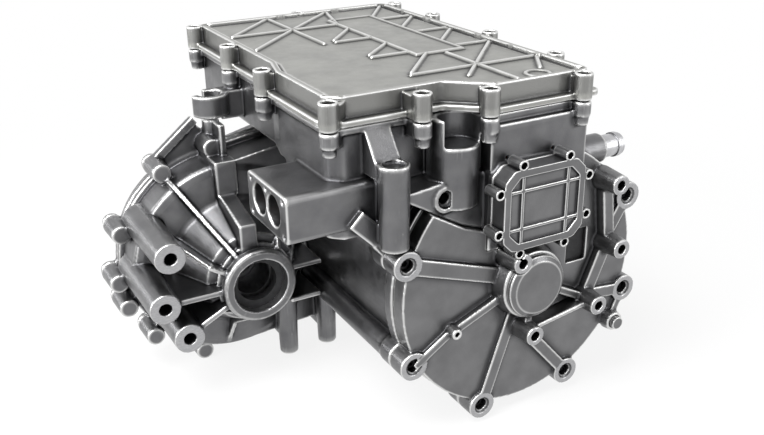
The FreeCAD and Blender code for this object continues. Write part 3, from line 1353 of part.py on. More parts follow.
def bevel_outline(teeth, pitch, module, turn):
    """Straight-sided bevel teeth, a little narrower than their gaps."""
    points = []
    step = 2 * math.pi / teeth
    for index in range(teeth):
        center = turn + index * step
        for radius, share in ((pitch - module * 1.1, -0.30), (pitch + module * 0.45, -0.12),
                              (pitch + module * 0.45, 0.12), (pitch - module * 1.1, 0.30)):
            angle = center + share * step
            points.append(Vector(radius * math.cos(angle), 0, radius * math.sin(angle)))
    return Part.makePolygon(points + points[:1])


def bevel(teeth, pitch, apex_gap, inner_share, turn=0):
    """A straight bevel gear about +Y whose cone points at the origin: a loft between two tooth rings."""
    wires = []
    for share in (1, inner_share):
        wire = bevel_outline(teeth, pitch * share, 2 * pitch / teeth * share, turn)
        wire.translate(Vector(0, apex_gap * share, 0))
        wires.append(wire)
    return Part.makeLoft(wires, True, True)


def bevel_gear(label, teeth, pitch, apex_gap, hub_radius, hub_length, bore, turn, facing):
    """One bevel gear of the differential with its hub and bore, turned about Z to face its mates."""
    item = doc.addObject("Part::Feature", label)
    up = Vector(0, 1, 0)
    solid = bevel(teeth, pitch, apex_gap, 0.66, turn)
    solid = solid.fuse(Part.makeCylinder(hub_radius, hub_length, Vector(0, apex_gap - 0.1, 0), up))
    item.Shape = solid.cut(Part.makeCylinder(bore, 2 * apex_gap + hub_length, Vector(), up))
    item.Placement = Placement(Vector(), Rotation(Vector(0, 0, 1), facing))
    seat(item, "output_x", "differential_middle", "output_z")
    return item


RING_SCREWS = [around("ring_screw_circle", str(45 * index + 22.5), *OUTPUT) for index in range(8)]


def differential():
    """The differential: case, final drive gear, cross pin, planet bevels and side gears."""
    out_x, out_z = OUTPUT
    blank = turned("case_blank", [
        ("163", "17.6"), ("163", "diff_bearing_bore"), ("186", "diff_bearing_bore"), ("186", "30"), ("192",
                                                                                                     "46"),
        ("198", "49"), ("226", "49"), ("226", "64"), ("gear_station - 34", "64"), ("gear_station - 34",
                                                                                   "47.9"),
        ("gear_station - 2", "47.9"), ("gear_station - 2", "44"), ("gear_station + 6", "32"),
        ("gear_station + 26", "30"), ("gear_station + 26", "diff_bearing_bore"),
        ("gear_station + 47", "diff_bearing_bore"), ("gear_station + 47", "17.6"), ("262", "17.6"), ("262",
                                                                                                     "38"),
        ("196", "38"), ("196", "17.6")], out_x, "0", out_z)
    tools = [cylinder("differential_pin_radius + slip_gap / 2", "140", "output_x - 70",
                      "differential_middle", out_z, "x")]
    for x, z in RING_SCREWS:
        tools.append(cylinder("screw_hole", "12", x, "225", z))
    finish(cut(blank, tools), "differential_case")
    final_turn = meshed_turn("counter_pinion_teeth", 0, COUNTER, "final_teeth", OUTPUT)
    wheel = gear("wheel_blank", "final_teeth", "stage_two_module", "30", "48", OUTPUT, "gear_station - 34",
                 final_turn,
                 ("66", "76", "6"))
    holes = [cylinder("screw_hole", "16", x, "gear_station - 35", z) for x, z in RING_SCREWS]
    finish(cut(wheel, holes), "final_drive_gear")
    finish(cylinder("differential_pin_radius", "differential_pin_length",
                    "output_x - differential_pin_length / 2",
                    "differential_middle", out_z, "x"), "differential_pin")
    sides = [bevel_gear("side_gear", 16, 30, 18.8, 23, 13.5, 14, 0, facing) for facing in (0, 180)]
    finish(group(sides, "sides"), "side_gears")
    planets = [bevel_gear("spider_gear", 10, 18.8, 30, 10, 5, 8.1, math.pi / 10, facing) for facing in (90,
                                                                                                        270)]
    finish(group(planets, "planets"), "spider_gears")
    seals = [ring("output_seal_inner", "ring_bore + 1 - slip_gap", "shaft_seal_width", out_x, station, out_z)
             for station in ("ring_face + 11", "gear_station + cover_depth + 3")]
    finish(group(seals, "seals"), "output_seals")


PHASES = ("-20", "4", "28")


def electronics():
    """Power electronics in the tub: power module, capacitor, control board and phase bars."""
    module = [block(("-110", "44"), ("95", "225"), ("tub_floor", "tub_floor + 12"))]
    for x in PHASES:
        module.append(block((x, f"{x} + 12"), ("86", "100"), ("tub_floor", "tub_floor + 9")))
    finish(fuse(module), "power_module")
    finish(block(("-125", "5"), ("240", "335"), ("tub_floor", "tub_floor + 36")), "dc_link_capacitor")
    posts = [block((x, f"{x} + 6"), (y, f"{y} + 6"), ("tub_floor + 12", "tub_floor + 25"))
             for x in ("-108", "-26") for y in ("98", "214")]
    chips = [block((f"-90 + {step}", f"-72 + {step}"), ("120", "138"), ("tub_floor + 25", "tub_floor + 28"))
             for step in (0, 26, 52)]
    board = fuse([block(("-112", "-10"), ("96", "222"), ("tub_floor + 24", "tub_floor + 25.6")), *posts,
                  *chips])
    finish(board, "control_board")
    bars = []
    for x in PHASES:
        across = (f"{x} + 1", f"{x} + 11")
        bars.append(fuse([
            block(across, ("14", "17"), ("70", "tub_floor + 18")),
            block(across, ("14", "92"), ("tub_floor + 15", "tub_floor + 18")),
            block(across, ("89", "92"), ("tub_floor + 9", "tub_floor + 18")),
        ]))
    finish(group(bars, "bars"), "phase_busbars")


def socket_screw(head_radius, head_height, shank_radius, length, key):
    """A socket head screw: its seat is at the origin and its shank runs down."""
    body = doc.addObject("PartDesign::Body", "screw")
    sketch = sketch_on(body, "XZ_Plane")
    polygon(sketch, [("0", f"-({length})"), (f"{shank_radius} - 0.4", f"-({length})"),
                     (shank_radius, f"-({length}) + 0.8"), (shank_radius, "0"), (head_radius, "0"),
                     (head_radius, f"{head_height} - 0.6"), (f"{head_radius} - 0.6", head_height), ("0",
                                                                                                    head_height)])
    turn = body.newObject("PartDesign::Revolution", "turn")
    turn.Profile = sketch
    turn.ReferenceAxis = (sketch, ["V_Axis"])
    turn.Angle = 360
    socket = doc.addObject("Part::Prism", "socket")
    socket.Polygon = 6
    bind(socket, "Circumradius", key)
    bind(socket, "Height", head_height)
    seat(socket, z=f"({head_height}) * 0.4")
    return cut(body, [socket], "socket_screw")


def screw_group(label, master, heads, along):
    """Copies of one screw, each with its head seat at a place, and its head to one side."""
    copies = []
    for x, y, z in heads:
        copy = master.Shape.copy()
        copy.Placement = Placement(Vector(number(x), number(y), number(z)), ALONG[along])
        copies.append(copy)
    item = doc.addObject("Part::Feature", label)
    item.Shape = Part.makeCompound(copies)
    finish(item, label)


def plug(label, spigot_radius, spigot_length, head_radius, head_length, place, station, sides=6):
    """A screwed plug in a far wall: a spigot in its hole and a hexagon or round head on the face."""
    if sides:
        head = doc.addObject("Part::Prism", "head")
        head.Polygon = sides
        bind(head, "Circumradius", head_radius)
        bind(head, "Height", head_length)
        head.Placement = Placement(Vector(), ALONG["y"])
        seat(head, place[0], station, place[1])
    else:
        head = cylinder(head_radius, head_length, place[0], station, place[1])
    spigot = cylinder(spigot_radius, f"{spigot_length} + 1", place[0], f"{station} - {spigot_length}",
                      place[1])
    finish(fuse([head, spigot]), label)


def fasteners():
    """Every screw group, the dowels, the plugs and the split's seal."""
    medium = socket_screw("head_radius", "head_height", "shank_radius", "medium_length", "key_radius")
    small = socket_screw("small_head_radius", "small_head_height", "small_shank_radius", "small_length",
                         "small_key_radius")
    long = socket_screw("head_radius", "head_height", "shank_radius", "long_length", "key_radius")
    doc.recompute()
    screw_group("lid_screws", medium, [(x, y, "lid_top - lid_column_head") for x, y, _, _ in LID_BOSSES], "z")
    screw_group("access_screws", small, [(x, "access_face + access_head_depth", z) for x,
                                         z in ACCESS_SCREWS], "-y")
    screw_group("end_cover_screws", medium, [(x, "ear_floor", z) for x, z in COVER_BOLTS], "-y")
    screw_group("gearbox_screws", long, [(x, "gearbox_split + seal_gap + flange_thickness", z)
                                         for x, z in FLANGE_BOSSES + MOTOR_SIDE_BOSSES], "y")
    flange = [around("motor_flange_circle", angle) for angle in MOTOR_FLANGE_ANGLES]
    screw_group("motor_flange_screws", medium, [(x, "barrel_end + 14", z) for x, z in flange], "y")
    screw_group("ring_gear_screws", medium, [(x, "226", z) for x, z in RING_SCREWS], "-y")
    finish(group([cylinder("dowel_radius", "dowel_length", x, "gearbox_split - dowel_length / 2", z) for x,
                  z in DOWELS], "dowels"), "locating_dowels")
    wall = "(gear_station + seal_gap + cover_depth)"
    for name, place in (("drain_plug", DRAIN), ("fill_plug", FILL)):
        plug(name, "port_plug_radius", "port_plug_depth", "port_plug_head", "port_plug_height", place, wall)
    plug("breather", "breather_radius", "port_plug_depth", "breather_head", "breather_height", BREATHER,
         wall, 0)
    seal = two_circle_plate("split_seal", "bell_flange_radius - 0.5", "motor_flange_radius - 0.5", "seal_gap",
                            "gearbox_split")
    holes = [two_circle_plate("split_hole", "bell_flange_radius - bell_wall",
                              "motor_flange_radius - motor_wall",
                              "seal_gap", "gearbox_split")]
    holes += [cylinder("dowel_radius + slip_gap", "2", x, "gearbox_split - 1", z) for x, z in DOWELS]
    finish(cut(seal, holes), "gearbox_seal")


end_cover()
inverter_lid()
access_cover()
motor_housing()
gearbox_housing()
gearbox_cover()
motor_parts()
bearings()
gear_train()
differential()
electronics()
fasteners()
doc.recompute()

# Seat the whole unit so that its origin is on the output axis, at the near output ring's face
for item in SUBPARTS:
    present = {path.lstrip("."): text for path, text in item.ExpressionEngine}
    for axis, away in (("x", "sizes.output_x"), ("y", "sizes.ring_face"), ("z", "sizes.output_z")):
        path = f"Placement.Base.{axis}"
        item.setExpression(f".{path}", f"({present[path]}) - {away}" if path in present else f"-({away})")
doc.recompute()

for item in doc.Objects:
    if "Invalid" in item.State or "Error" in item.State:
        raise ValueError(f"{item.Label} can't be built: {item.State}")
for item in SUBPARTS:
    if item.Shape.isNull() or not item.Shape.isValid() or not item.Shape.Solids:
        raise ValueError(f"{item.Label} has no sound solid")

os.makedirs("parts", exist_ok=True)
for item in SUBPARTS:
    item.Shape.exportStep(f"parts/{item.Label}.step")
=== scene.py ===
import math

import bmesh
import bpy
import numpy
from mathutils import Matrix, Vector


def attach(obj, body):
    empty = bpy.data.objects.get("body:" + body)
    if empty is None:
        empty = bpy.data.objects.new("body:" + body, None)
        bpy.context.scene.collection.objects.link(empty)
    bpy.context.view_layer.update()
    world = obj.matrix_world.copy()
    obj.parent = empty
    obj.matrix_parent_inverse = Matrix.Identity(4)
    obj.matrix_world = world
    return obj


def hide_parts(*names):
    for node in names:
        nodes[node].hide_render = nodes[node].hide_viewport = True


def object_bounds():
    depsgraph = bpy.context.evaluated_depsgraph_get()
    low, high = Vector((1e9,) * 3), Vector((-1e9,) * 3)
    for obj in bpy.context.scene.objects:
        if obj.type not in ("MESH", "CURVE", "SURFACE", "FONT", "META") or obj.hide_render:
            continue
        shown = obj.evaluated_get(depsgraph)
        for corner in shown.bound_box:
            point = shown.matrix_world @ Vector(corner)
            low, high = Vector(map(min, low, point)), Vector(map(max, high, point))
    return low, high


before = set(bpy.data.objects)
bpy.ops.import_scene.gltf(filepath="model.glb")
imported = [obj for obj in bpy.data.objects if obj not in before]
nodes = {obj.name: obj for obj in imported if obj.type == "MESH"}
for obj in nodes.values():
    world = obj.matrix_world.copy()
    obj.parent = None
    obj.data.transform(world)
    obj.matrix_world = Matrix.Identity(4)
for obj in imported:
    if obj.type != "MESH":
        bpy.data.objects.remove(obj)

box_at_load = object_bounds()

# The studio: the unit stands on a pale matt floor in front of a white background, under a large
# soft lamp overhead and three narrower ones, which draw bright lines along the castings' edges.
# Near the unit the floor keeps a soft shadow, and further out it runs into the white background.
WHITE = "#ffffff"
FLOOR_COLOUR = "#f4f4f4"
FLOOR_SIZE = 8.0
FLOOR_GLOW = 0.86
FLOOR_NEAR, FLOOR_FAR = 0.35, 1.0
WORLD_LEVEL = 0.3
MM = 0.001


def linear(colour, alpha=1.0):
    """Turns an sRGB hex colour into the linear values that a shader takes."""
    parts = [int(colour[place : place + 2], 16) / 255 for place in (1, 3, 5)]
    light = [part / 12.92 if part <= 0.04045 else ((part + 0.055) / 1.055) ** 2.4 for part in parts]
    return (*light, alpha)


def add(tree, kind, inputs=None, **settings):
    """Adds a shader node with its settings, and gives each named input its value or its link."""
    made = tree.nodes.new(kind)
    for name, value in settings.items():
        setattr(made, name, value)
    for name, value in (inputs or {}).items():
        if isinstance(value, bpy.types.NodeSocket):
            tree.links.new(value, made.inputs[name])
        else:
            made.inputs[name].default_value = value
    return made


def shown_background(tree):
    """1 on the rays that show the background itself or its mirror image, 0 on the rays that light."""
    path = add(tree, "ShaderNodeLightPath").outputs
    seen = {0: path["Is Camera Ray"], 1: path["Is Glossy Ray"]}
    shown = add(tree, "ShaderNodeMath", seen, operation="MAXIMUM")
    both = {0: shown.outputs[0], 1: path["Is Transmission Ray"]}
    return add(tree, "ShaderNodeMath", both, operation="MAXIMUM").outputs[0]


world = bpy.data.worlds.new("white_studio")
world.use_nodes = True
world.node_tree.nodes.clear()
level = add(
    world.node_tree,
    "ShaderNodeMath",
    {0: shown_background(world.node_tree), 1: 1 - WORLD_LEVEL, 2: WORLD_LEVEL},
    operation="MULTIPLY_ADD",
)
sky = add(world.node_tree, "ShaderNodeBackground", {"Color": linear(WHITE), "Strength": level.outputs[0]})
add(world.node_tree, "ShaderNodeOutputWorld", {"Surface": sky.outputs[0]})
bpy.context.scene.world = world
bpy.context.scene.view_settings.view_transform = "Standard"

floor_material = bpy.data.materials.new("pale_matt_floor")
floor_material.use_nodes = True
tree = floor_material.node_tree
tree.nodes.clear()
paint = add(tree, "ShaderNodeBsdfDiffuse", {"Color": linear(FLOOR_COLOUR)})
glow = add(tree, "ShaderNodeEmission", {"Color": linear(WHITE), "Strength": 1.0})
place = add(tree, "ShaderNodeTexCoord").outputs["Object"]
away = add(tree, "ShaderNodeVectorMath", {0: place}, operation="LENGTH").outputs["Value"]
reach = {"Value": away, "From Min": FLOOR_NEAR, "From Max": FLOOR_FAR, "To Min": FLOOR_GLOW, "To Max": 1.0}
glow_share = add(tree, "ShaderNodeMapRange", reach, interpolation_type="SMOOTHSTEP").outputs[0]
share = add(tree, "ShaderNodeMath", {0: shown_background(tree), 1: glow_share}, operation="MULTIPLY")
both = add(tree, "ShaderNodeMixShader", {0: share.outputs[0], 1: paint.outputs[0], 2: glow.outputs[0]})
add(tree, "ShaderNodeOutputMaterial", {"Surface": both.outputs[0]})
sheet = bmesh.new()
bmesh.ops.create_grid(sheet, x_segments=1, y_segments=1, size=FLOOR_SIZE / 2)
bmesh.ops.translate(sheet, verts=sheet.verts, vec=(0, 0, box_at_load[0].z))
floor_mesh = bpy.data.meshes.new("floor")
sheet.to_mesh(floor_mesh)
floor_mesh.materials.append(floor_material)
floor = bpy.data.objects.new("floor", floor_mesh)
bpy.context.scene.collection.objects.link(floor)

# Each lamp's name, its place and size in metres, and its power in watts.
LAMPS = [
    ("overhead", (-0.5, -0.2, 1.15), (0.9, 0.55), 25.0),
    ("left_strip", (-1.25, -0.35, 0.75), (0.3, 1.2), 13.0),
    ("rear_strip", (-1.15, 0.75, 0.35), (1.0, 0.3), 8.0),
    ("right_strip", (0.95, -1.0, 0.6), (0.22, 1.1), 5.0),
]
middle = (box_at_load[0] + box_at_load[1]) / 2
for name, place, size, power in LAMPS:
    lamp = bpy.data.lights.new(name, "AREA")
    lamp.shape = "RECTANGLE"
    lamp.size, lamp.size_y = size
    lamp.energy = power
    stand = bpy.data.objects.new(name, lamp)
    bpy.context.scene.collection.objects.link(stand)
    stand.location = place
    stand.rotation_euler = (middle - Vector(place)).to_track_quat("-Z", "Y").to_euler()

# The camera, worked out from the photograph's parallel edges.
CAMERA_PLACE = (-0.24951, -0.67497, 0.37405)
CAMERA_SENSOR_MM, CAMERA_LENS_MM, CAMERA_NEAREST = 36, 42.894, 0.01
CAMERA_PITCH, CAMERA_YAW, CAMERA_ROLL = (math.radians(angle) for angle in (23.511, 28.815, -0.863))
ahead = Vector((
    math.sin(CAMERA_YAW) * math.cos(CAMERA_PITCH),
    math.cos(CAMERA_YAW) * math.cos(CAMERA_PITCH),
    -math.sin(CAMERA_PITCH),
))
level_right = Vector((math.cos(CAMERA_YAW), -math.sin(CAMERA_YAW), 0))
level_up = level_right.cross(ahead)
right = math.cos(CAMERA_ROLL) * level_right + math.sin(CAMERA_ROLL) * level_up
up = math.cos(CAMERA_ROLL) * level_up - math.sin(CAMERA_ROLL) * level_right
camera_data = bpy.data.cameras.new("camera")
camera_data.sensor_width = CAMERA_SENSOR_MM
camera_data.lens = CAMERA_LENS_MM
camera_data.clip_start = CAMERA_NEAREST
camera = bpy.data.objects.new("camera", camera_data)
bpy.context.scene.collection.objects.link(camera)
camera.matrix_world = Matrix.Translation(CAMERA_PLACE) @ Matrix((right, up, -ahead)).transposed().to_4x4()
bpy.context.scene.camera = camera


# The motor's stator: a stack of thin electrical steel sheets with 36 slots, pressed into the
# barrel, and two crowns of enamelled copper wire, tied and dipped in varnish, at its ends.
SHEET_STEP_MM = 1.6
WAVE_FACTOR = 20  # the wave texture's own factor on its scale
NOISE_LOW, NOISE_HIGH = 0.3, 0.7  # nearly all of a noise's values lie between these


def finish_start(name, metallic, roughness):
    """A new material with its main shader; returns the material, its tree and the shader."""
    material = bpy.data.materials.new(name)
    material.use_nodes = True
    tree = material.node_tree
    tree.nodes.clear()
    shader = add(tree, "ShaderNodeBsdfPrincipled", {"Metallic": metallic, "Roughness": roughness})
    add(tree, "ShaderNodeOutputMaterial", {"Surface": shader.outputs[0]})
    return material, tree, shader


def mottled(tree, size_mm, low=0, high=1, stretch=(1, 1, 1), detail=3.0, seed=0.0):
    """A noise over the object, whose spots measure size_mm, spread between low and high."""
    place = add(tree, "ShaderNodeTexCoord").outputs["Object"]
    shift = {"Vector": place, "Scale": stretch, "Location": (seed, seed, seed)}
    shifted = add(tree, "ShaderNodeMapping", shift).outputs[0]
    spots = {"Vector": shifted, "Scale": 1 / (size_mm * MM), "Detail": detail}
    noise = add(tree, "ShaderNodeTexNoise", spots).outputs["Fac"]
    spread = {"Value": noise, "From Min": NOISE_LOW, "From Max": NOISE_HIGH, "To Min": low, "To Max": high}
    return add(tree, "ShaderNodeMapRange", spread).outputs[0]


def between(tree, share, low, high):
    """A colour that runs from one sRGB colour, or another pattern's colour, to a second one."""
    ends = [colour if isinstance(colour, bpy.types.NodeSocket) else linear(colour) for colour in (low, high)]
    return add(tree, "ShaderNodeMix", {0: share, 6: ends[0], 7: ends[1]}, data_type="RGBA").outputs[2]


def coloured(tree, shader, share, dark, light):
    """Gives the shader a colour between two sRGB colours."""
    tree.links.new(between(tree, share, dark, light), shader.inputs["Base Color"])


def relief(tree, shader, height, depth_mm, strength=1.0):
    """Raises and lowers the surface by a pattern."""
    bumps = {"Height": height, "Distance": depth_mm * MM, "Strength": strength}
    tree.links.new(add(tree, "ShaderNodeBump", bumps).outputs[0], shader.inputs["Normal"])


def glossed(tree, shader, share):
    """Varies the shader's roughness by a pattern."""
    tree.links.new(share, shader.inputs["Roughness"])


def wear(material, *names):
    """Gives the named pieces one finish."""
    for name in names:
        slots = nodes[name].data.materials
        slots.clear()
        slots.append(material)


# Cut and stacked sheet steel: fine lines round the stack, each drawn some four sheets wide, because
# single sheets of 0.35 mm are too fine to show.
material, tree, shader = finish_start("stacked_electrical_steel", 1.0, 0.5)
place = add(tree, "ShaderNodeTexCoord").outputs["Object"]
stack = {"Vector": place, "Scale": 1 / (SHEET_STEP_MM * MM) / WAVE_FACTOR * math.pi, "Distortion": 0.4}
sheets = add(tree, "ShaderNodeTexWave", stack, bands_direction="Y").outputs["Fac"]
coloured(tree, shader, sheets, "#4c4d52", "#7d7e82")
relief(tree, shader, sheets, 0.15)
wear(material, "stator_core", "rotor_core")

# Enamelled copper wire under varnish: warm and glossy, darker where the varnish has pooled.
material, tree, shader = finish_start("varnished_copper_wire", 0.85, 0.3)
coloured(tree, shader, mottled(tree, 6), "#7a3c1c", "#c4703a")
relief(tree, shader, mottled(tree, 1.6, stretch=(1, 3, 1)), 0.4)
glossed(tree, shader, mottled(tree, 4, 0.22, 0.4, seed=2.0))
wear(material, "stator_windings")

# The rotor: a second stack of sheets on a ground steel shaft, with sintered magnets in its pockets
# and a balancing plate at each end. It turns in two ball bearings.

# Sintered magnets with a dull zinc coat: even grey with a slight sparkle of grains.
material, tree, shader = finish_start("coated_sintered_magnet", 0.6, 0.45)
coloured(tree, shader, mottled(tree, 1.5), "#5c5d60", "#77787c")
relief(tree, shader, mottled(tree, 0.8), 0.05)
wear(material, "rotor_magnets")

# Turned aluminium, for the rotor's end plates and the coolant stubs: light, with the lathe's rings.
material, tree, shader = finish_start("turned_aluminium", 1.0, 0.35)
coloured(tree, shader, mottled(tree, 8), "#aeaeb0", "#c3c3c5")
glossed(tree, shader, mottled(tree, 1.5, 0.28, 0.42, (1, 15, 1)))
relief(tree, shader, mottled(tree, 1.5, stretch=(1, 15, 1)), 0.02)
wear(material, "rotor_end_plates", "coolant_stubs")

# The shafts, the differential's pin, the seven ball bearings and the dowels: hardened steel, turned
# and ground to size. The bearings' rings are pressed into the castings and onto the shafts.

# Turned and ground steel: rings of fine tool marks round the axis, clean and fairly bright.
material, tree, shader = finish_start("ground_steel", 1.0, 0.28)
coloured(tree, shader, mottled(tree, 3, stretch=(1, 12, 1)), "#a9a9ab", "#c6c6c8")
glossed(tree, shader, mottled(tree, 1.2, 0.2, 0.34, (1, 20, 1)))
relief(tree, shader, mottled(tree, 1.2, stretch=(1, 20, 1)), 0.02)
wear(
    material,
    "motor_shaft",
    "countershaft",
    "differential_pin",
    "motor_bearing_outer_rings",
    "motor_bearing_inner_rings",
    "motor_bearing_balls",
    "pinion_bearing_outer_rings",
    "pinion_bearing_inner_rings",
    "pinion_bearing_balls",
    "countershaft_bearing_outer_rings",
    "countershaft_bearing_inner_rings",
    "countershaft_bearing_balls",
    "differential_bearing_outer_rings",
    "differential_bearing_inner_rings",
    "differential_bearing_balls",
    "locating_dowels",
)

# The gear train: two ground pairs of spur gears, case-hardened and oiled, that take the rotor's
# speed down to the differential, whose bevel gears sit in a machined iron case.

# Case-hardened steel: grey, with bluish patches from the heat, glossier where the oil lies.
material, tree, shader = finish_start("hardened_gear_steel", 1.0, 0.3)
coloured(tree, shader, mottled(tree, 14), "#85868c", "#a8a7a6")
glossed(tree, shader, mottled(tree, 5, 0.22, 0.38, seed=1.0))
relief(tree, shader, mottled(tree, 0.9), 0.02)
wear(
    material,
    "input_pinion",
    "countershaft_gear",
    "countershaft_pinion",
    "final_drive_gear",
    "side_gears",
    "spider_gears",
)

# Cast iron, machined where it seats: dark grey with an open grain.
material, tree, shader = finish_start("machined_cast_iron", 1.0, 0.45)
coloured(tree, shader, mottled(tree, 5), "#6a6a6c", "#838385")
relief(tree, shader, mottled(tree, 1.0), 0.06)
glossed(tree, shader, mottled(tree, 3, 0.38, 0.55, seed=3.0))
wear(material, "differential_case")

# The position sensor at the motor's free end: a stack of small sheets with its own windings, and
# a lobed rotor pressed on the shaft.

# Small sheets bonded with clear lacquer: dark and slightly glossy.
material, tree, shader = finish_start("lacquered_sheet_stack", 0.9, 0.4)
coloured(tree, shader, mottled(tree, 2, stretch=(1, 8, 1)), "#3f4044", "#66676b")
relief(tree, shader, mottled(tree, 1.0, stretch=(1, 10, 1)), 0.05)
wear(material, "resolver_stator", "resolver_rotor")

# The seals: lip seals on the shafts and thin sheets between the castings, all black or dark grey
# rubber, clamped when the screws are tightened.

# Black nitrile rubber: matt, with a faint bloom.
material, tree, shader = finish_start("black_nitrile_rubber", 0.0, 0.62)
coloured(tree, shader, mottled(tree, 6), "#1c1c1d", "#2c2c2e")
relief(tree, shader, mottled(tree, 0.7), 0.04)
wear(material, "shaft_seal", "output_seals")

# Grey silicone sheet: dark, matt, slightly uneven where it is squeezed.
material, tree, shader = finish_start("grey_silicone_sheet", 0.0, 0.7)
coloured(tree, shader, mottled(tree, 9), "#3a3a3c", "#4d4d50")
relief(tree, shader, mottled(tree, 1.1), 0.05)
wear(material, "lid_seal", "access_seal", "end_cover_seal", "gearbox_seal")

# The electronics in the tub: a power module, a capacitor block, a control board and three copper
# bars to the motor, screwed to bosses on the tub's floor.

# Black glass-filled plastic: matt, with the mould's fine spark texture.
material, tree, shader = finish_start("black_moulded_polyamide", 0.0, 0.5)
coloured(tree, shader, mottled(tree, 7), "#161617", "#242426")
relief(tree, shader, mottled(tree, 0.6), 0.04)
glossed(tree, shader, mottled(tree, 3, 0.42, 0.58, seed=4.0))
wear(material, "power_module", "dc_link_capacitor", "sensor_connector", "breather")

# Circuit board under green solder lacquer: even and half glossy, with the weave just showing.
material, tree, shader = finish_start("green_lacquered_board", 0.0, 0.35)
coloured(tree, shader, mottled(tree, 1.2, stretch=(3, 1, 1)), "#155a31", "#1f6e3e")
relief(tree, shader, mottled(tree, 0.8), 0.02)
wear(material, "control_board")

# Bare copper bar: rolled, warm, with a few darker stains.
material, tree, shader = finish_start("rolled_copper_bar", 1.0, 0.3)
coloured(tree, shader, mottled(tree, 10), "#b8683f", "#d98a5c")
glossed(tree, shader, mottled(tree, 3, 0.24, 0.4, (6, 1, 1)))
wear(material, "phase_busbars", "hv_contacts")

# The motor housing, with the barrel, the tub and the terminal box in one: die-cast aluminium,
# shot-blasted, and machined only where something seats. Its edges are rounded as the mould leaves
# them, and tapered columns stand under the lid's bosses.
# The first colour is a painted highlight for edges, the second a painted shade for corners and hollows.
PAINTED_HIGHLIGHT_GREY, PAINTED_SHADE_GREY = "#dfdfde", "#303032"
CUT_DARK, CUT_LIGHT = "#9c9c9e", "#b2b2b3"
# Where a mark begins to show, where it shows in full, and its share then: the painted highlight on
# edges, the painted shade in corners and in wide hollows, and the cut faces' border. The first three
# go by how sharply the surface turns, per millimetre.
PAINTED_EDGE_HIGHLIGHT = (0.08, 0.5, 0.85)
PAINTED_CORNER_SHADE = (-0.05, -0.4, 0.8)
PAINTED_HOLLOW_SHADE = (0.0, -0.12, 0.38)
CUT_BORDER = (0.4, 0.6, 1.0)
GLOSSIER, DULLER = 0.05, 0.07  # how far the roughness departs from its middle


def marked(tree, name, start=0.0, full=1.0, share=1.0):
    """A mark kept at the mesh's points, from 0 where it is at start to the share where it is full."""
    kept = add(tree, "ShaderNodeAttribute", attribute_name=name).outputs["Fac"]
    spread = {"Value": kept, "From Min": start, "From Max": full, "To Max": share}
    return add(tree, "ShaderNodeMapRange", spread).outputs[0]


def blasted(name, dark, light, roughness, painted_flank_shade=None):
    """Shot-blasted die-cast aluminium: satin grey in soft cloudy patches, with a fine peen, with a painted
    highlight near white on its edges and a painted shade, dark grey, in its corners and wide hollows.
    The faces that a cutter has gone over, boss ends and rims, are lighter, with its fine lines. Given a
    colour for its sides, its upright sides are painted darker, as painted shade."""
    material, tree, shader = finish_start(name, 1.0, roughness)
    cast = between(tree, mottled(tree, 22, detail=5.0), dark, light)
    # Painted shade: the lid's upright sides are painted a darker grey.
    if painted_flank_shade:
        cast = between(tree, marked(tree, "painted_flank_shade"), cast, painted_flank_shade)
    # Painted highlight: edges that turn sharply outwards are painted near white.
    cast = between(tree, marked(tree, "bend", *PAINTED_EDGE_HIGHLIGHT), cast, PAINTED_HIGHLIGHT_GREY)
    # Painted shade: corners and wide hollows are painted dark grey.
    cast = between(tree, marked(tree, "hollow", *PAINTED_HOLLOW_SHADE), cast, PAINTED_SHADE_GREY)
    cast = between(tree, marked(tree, "bend", *PAINTED_CORNER_SHADE), cast, PAINTED_SHADE_GREY)
    cut = between(tree, mottled(tree, 2.5, stretch=(1, 1, 5)), CUT_DARK, CUT_LIGHT)
    coloured(tree, shader, marked(tree, "milled", *CUT_BORDER), cast, cut)
    glossed(tree, shader, mottled(tree, 9, roughness - GLOSSIER, roughness + DULLER, seed=5.0))
    relief(tree, shader, mottled(tree, 1.1, detail=2.0), 0.05)
    return material


def at_points(mesh, name):
    """What a mesh's points hold as three numbers each, such as their places or normals."""
    values = numpy.empty(len(mesh.vertices) * 3)
    mesh.vertices.foreach_get(name, values)
    return values.reshape(-1, 3)


def keep_mark(mesh, name, values):
    """Stores a number at each of the mesh's points, for its finish."""
    mesh.attributes.new(name, "FLOAT", "POINT").data.foreach_set("value", values)


BEND_PASSES, HOLLOW_PASSES = 2, 24  # how often the measure is evened out before each is stored


def bend_kept(mesh):
    """Stores how sharply the surface turns at each point, per millimetre: above 0 on edges, below 0
    in corners. A second measure, evened out further, takes in the wide hollows round a point."""
    count = len(mesh.vertices)
    places, normals = at_points(mesh, "co") / MM, at_points(mesh, "normal")
    ends = numpy.empty(len(mesh.edges) * 2, dtype=numpy.int64)
    mesh.edges.foreach_get("vertices", ends)
    ends = ends.reshape(-1, 2)
    near, far = numpy.concatenate((ends, ends[:, ::-1])).T
    steps = places[far] - places[near]
    neighbours = numpy.bincount(near, minlength=count).clip(1)
    rise = numpy.bincount(near, numpy.einsum("ij,ij->i", steps, normals[near]), count)
    squares = numpy.bincount(near, (steps**2).sum(1), count).clip(1e-6)
    # Along a curve the surface falls by half the step's square times the curve's turn. The factor
    # of 4 gives the sum of its turns along and across.
    bend = -4 * rise / squares
    for name, passes in (("bend", BEND_PASSES), ("hollow", HOLLOW_PASSES)):
        for _ in range(passes):
            bend = (bend + numpy.bincount(near, bend[far], count) / neighbours) / 2
        keep_mark(mesh, name, bend)


# In millimetres: how far above or below a cut face a point may lie and still be marked, and over
# how much its mark fades. A border itself is marked by half.
MILLED_DEPTH, MILLED_FADE, BORDER_MARK = 0.35, 0.25, 0.5
BORE_REACH = 25.8  # the output bores' walls and rims lie within this of their axis


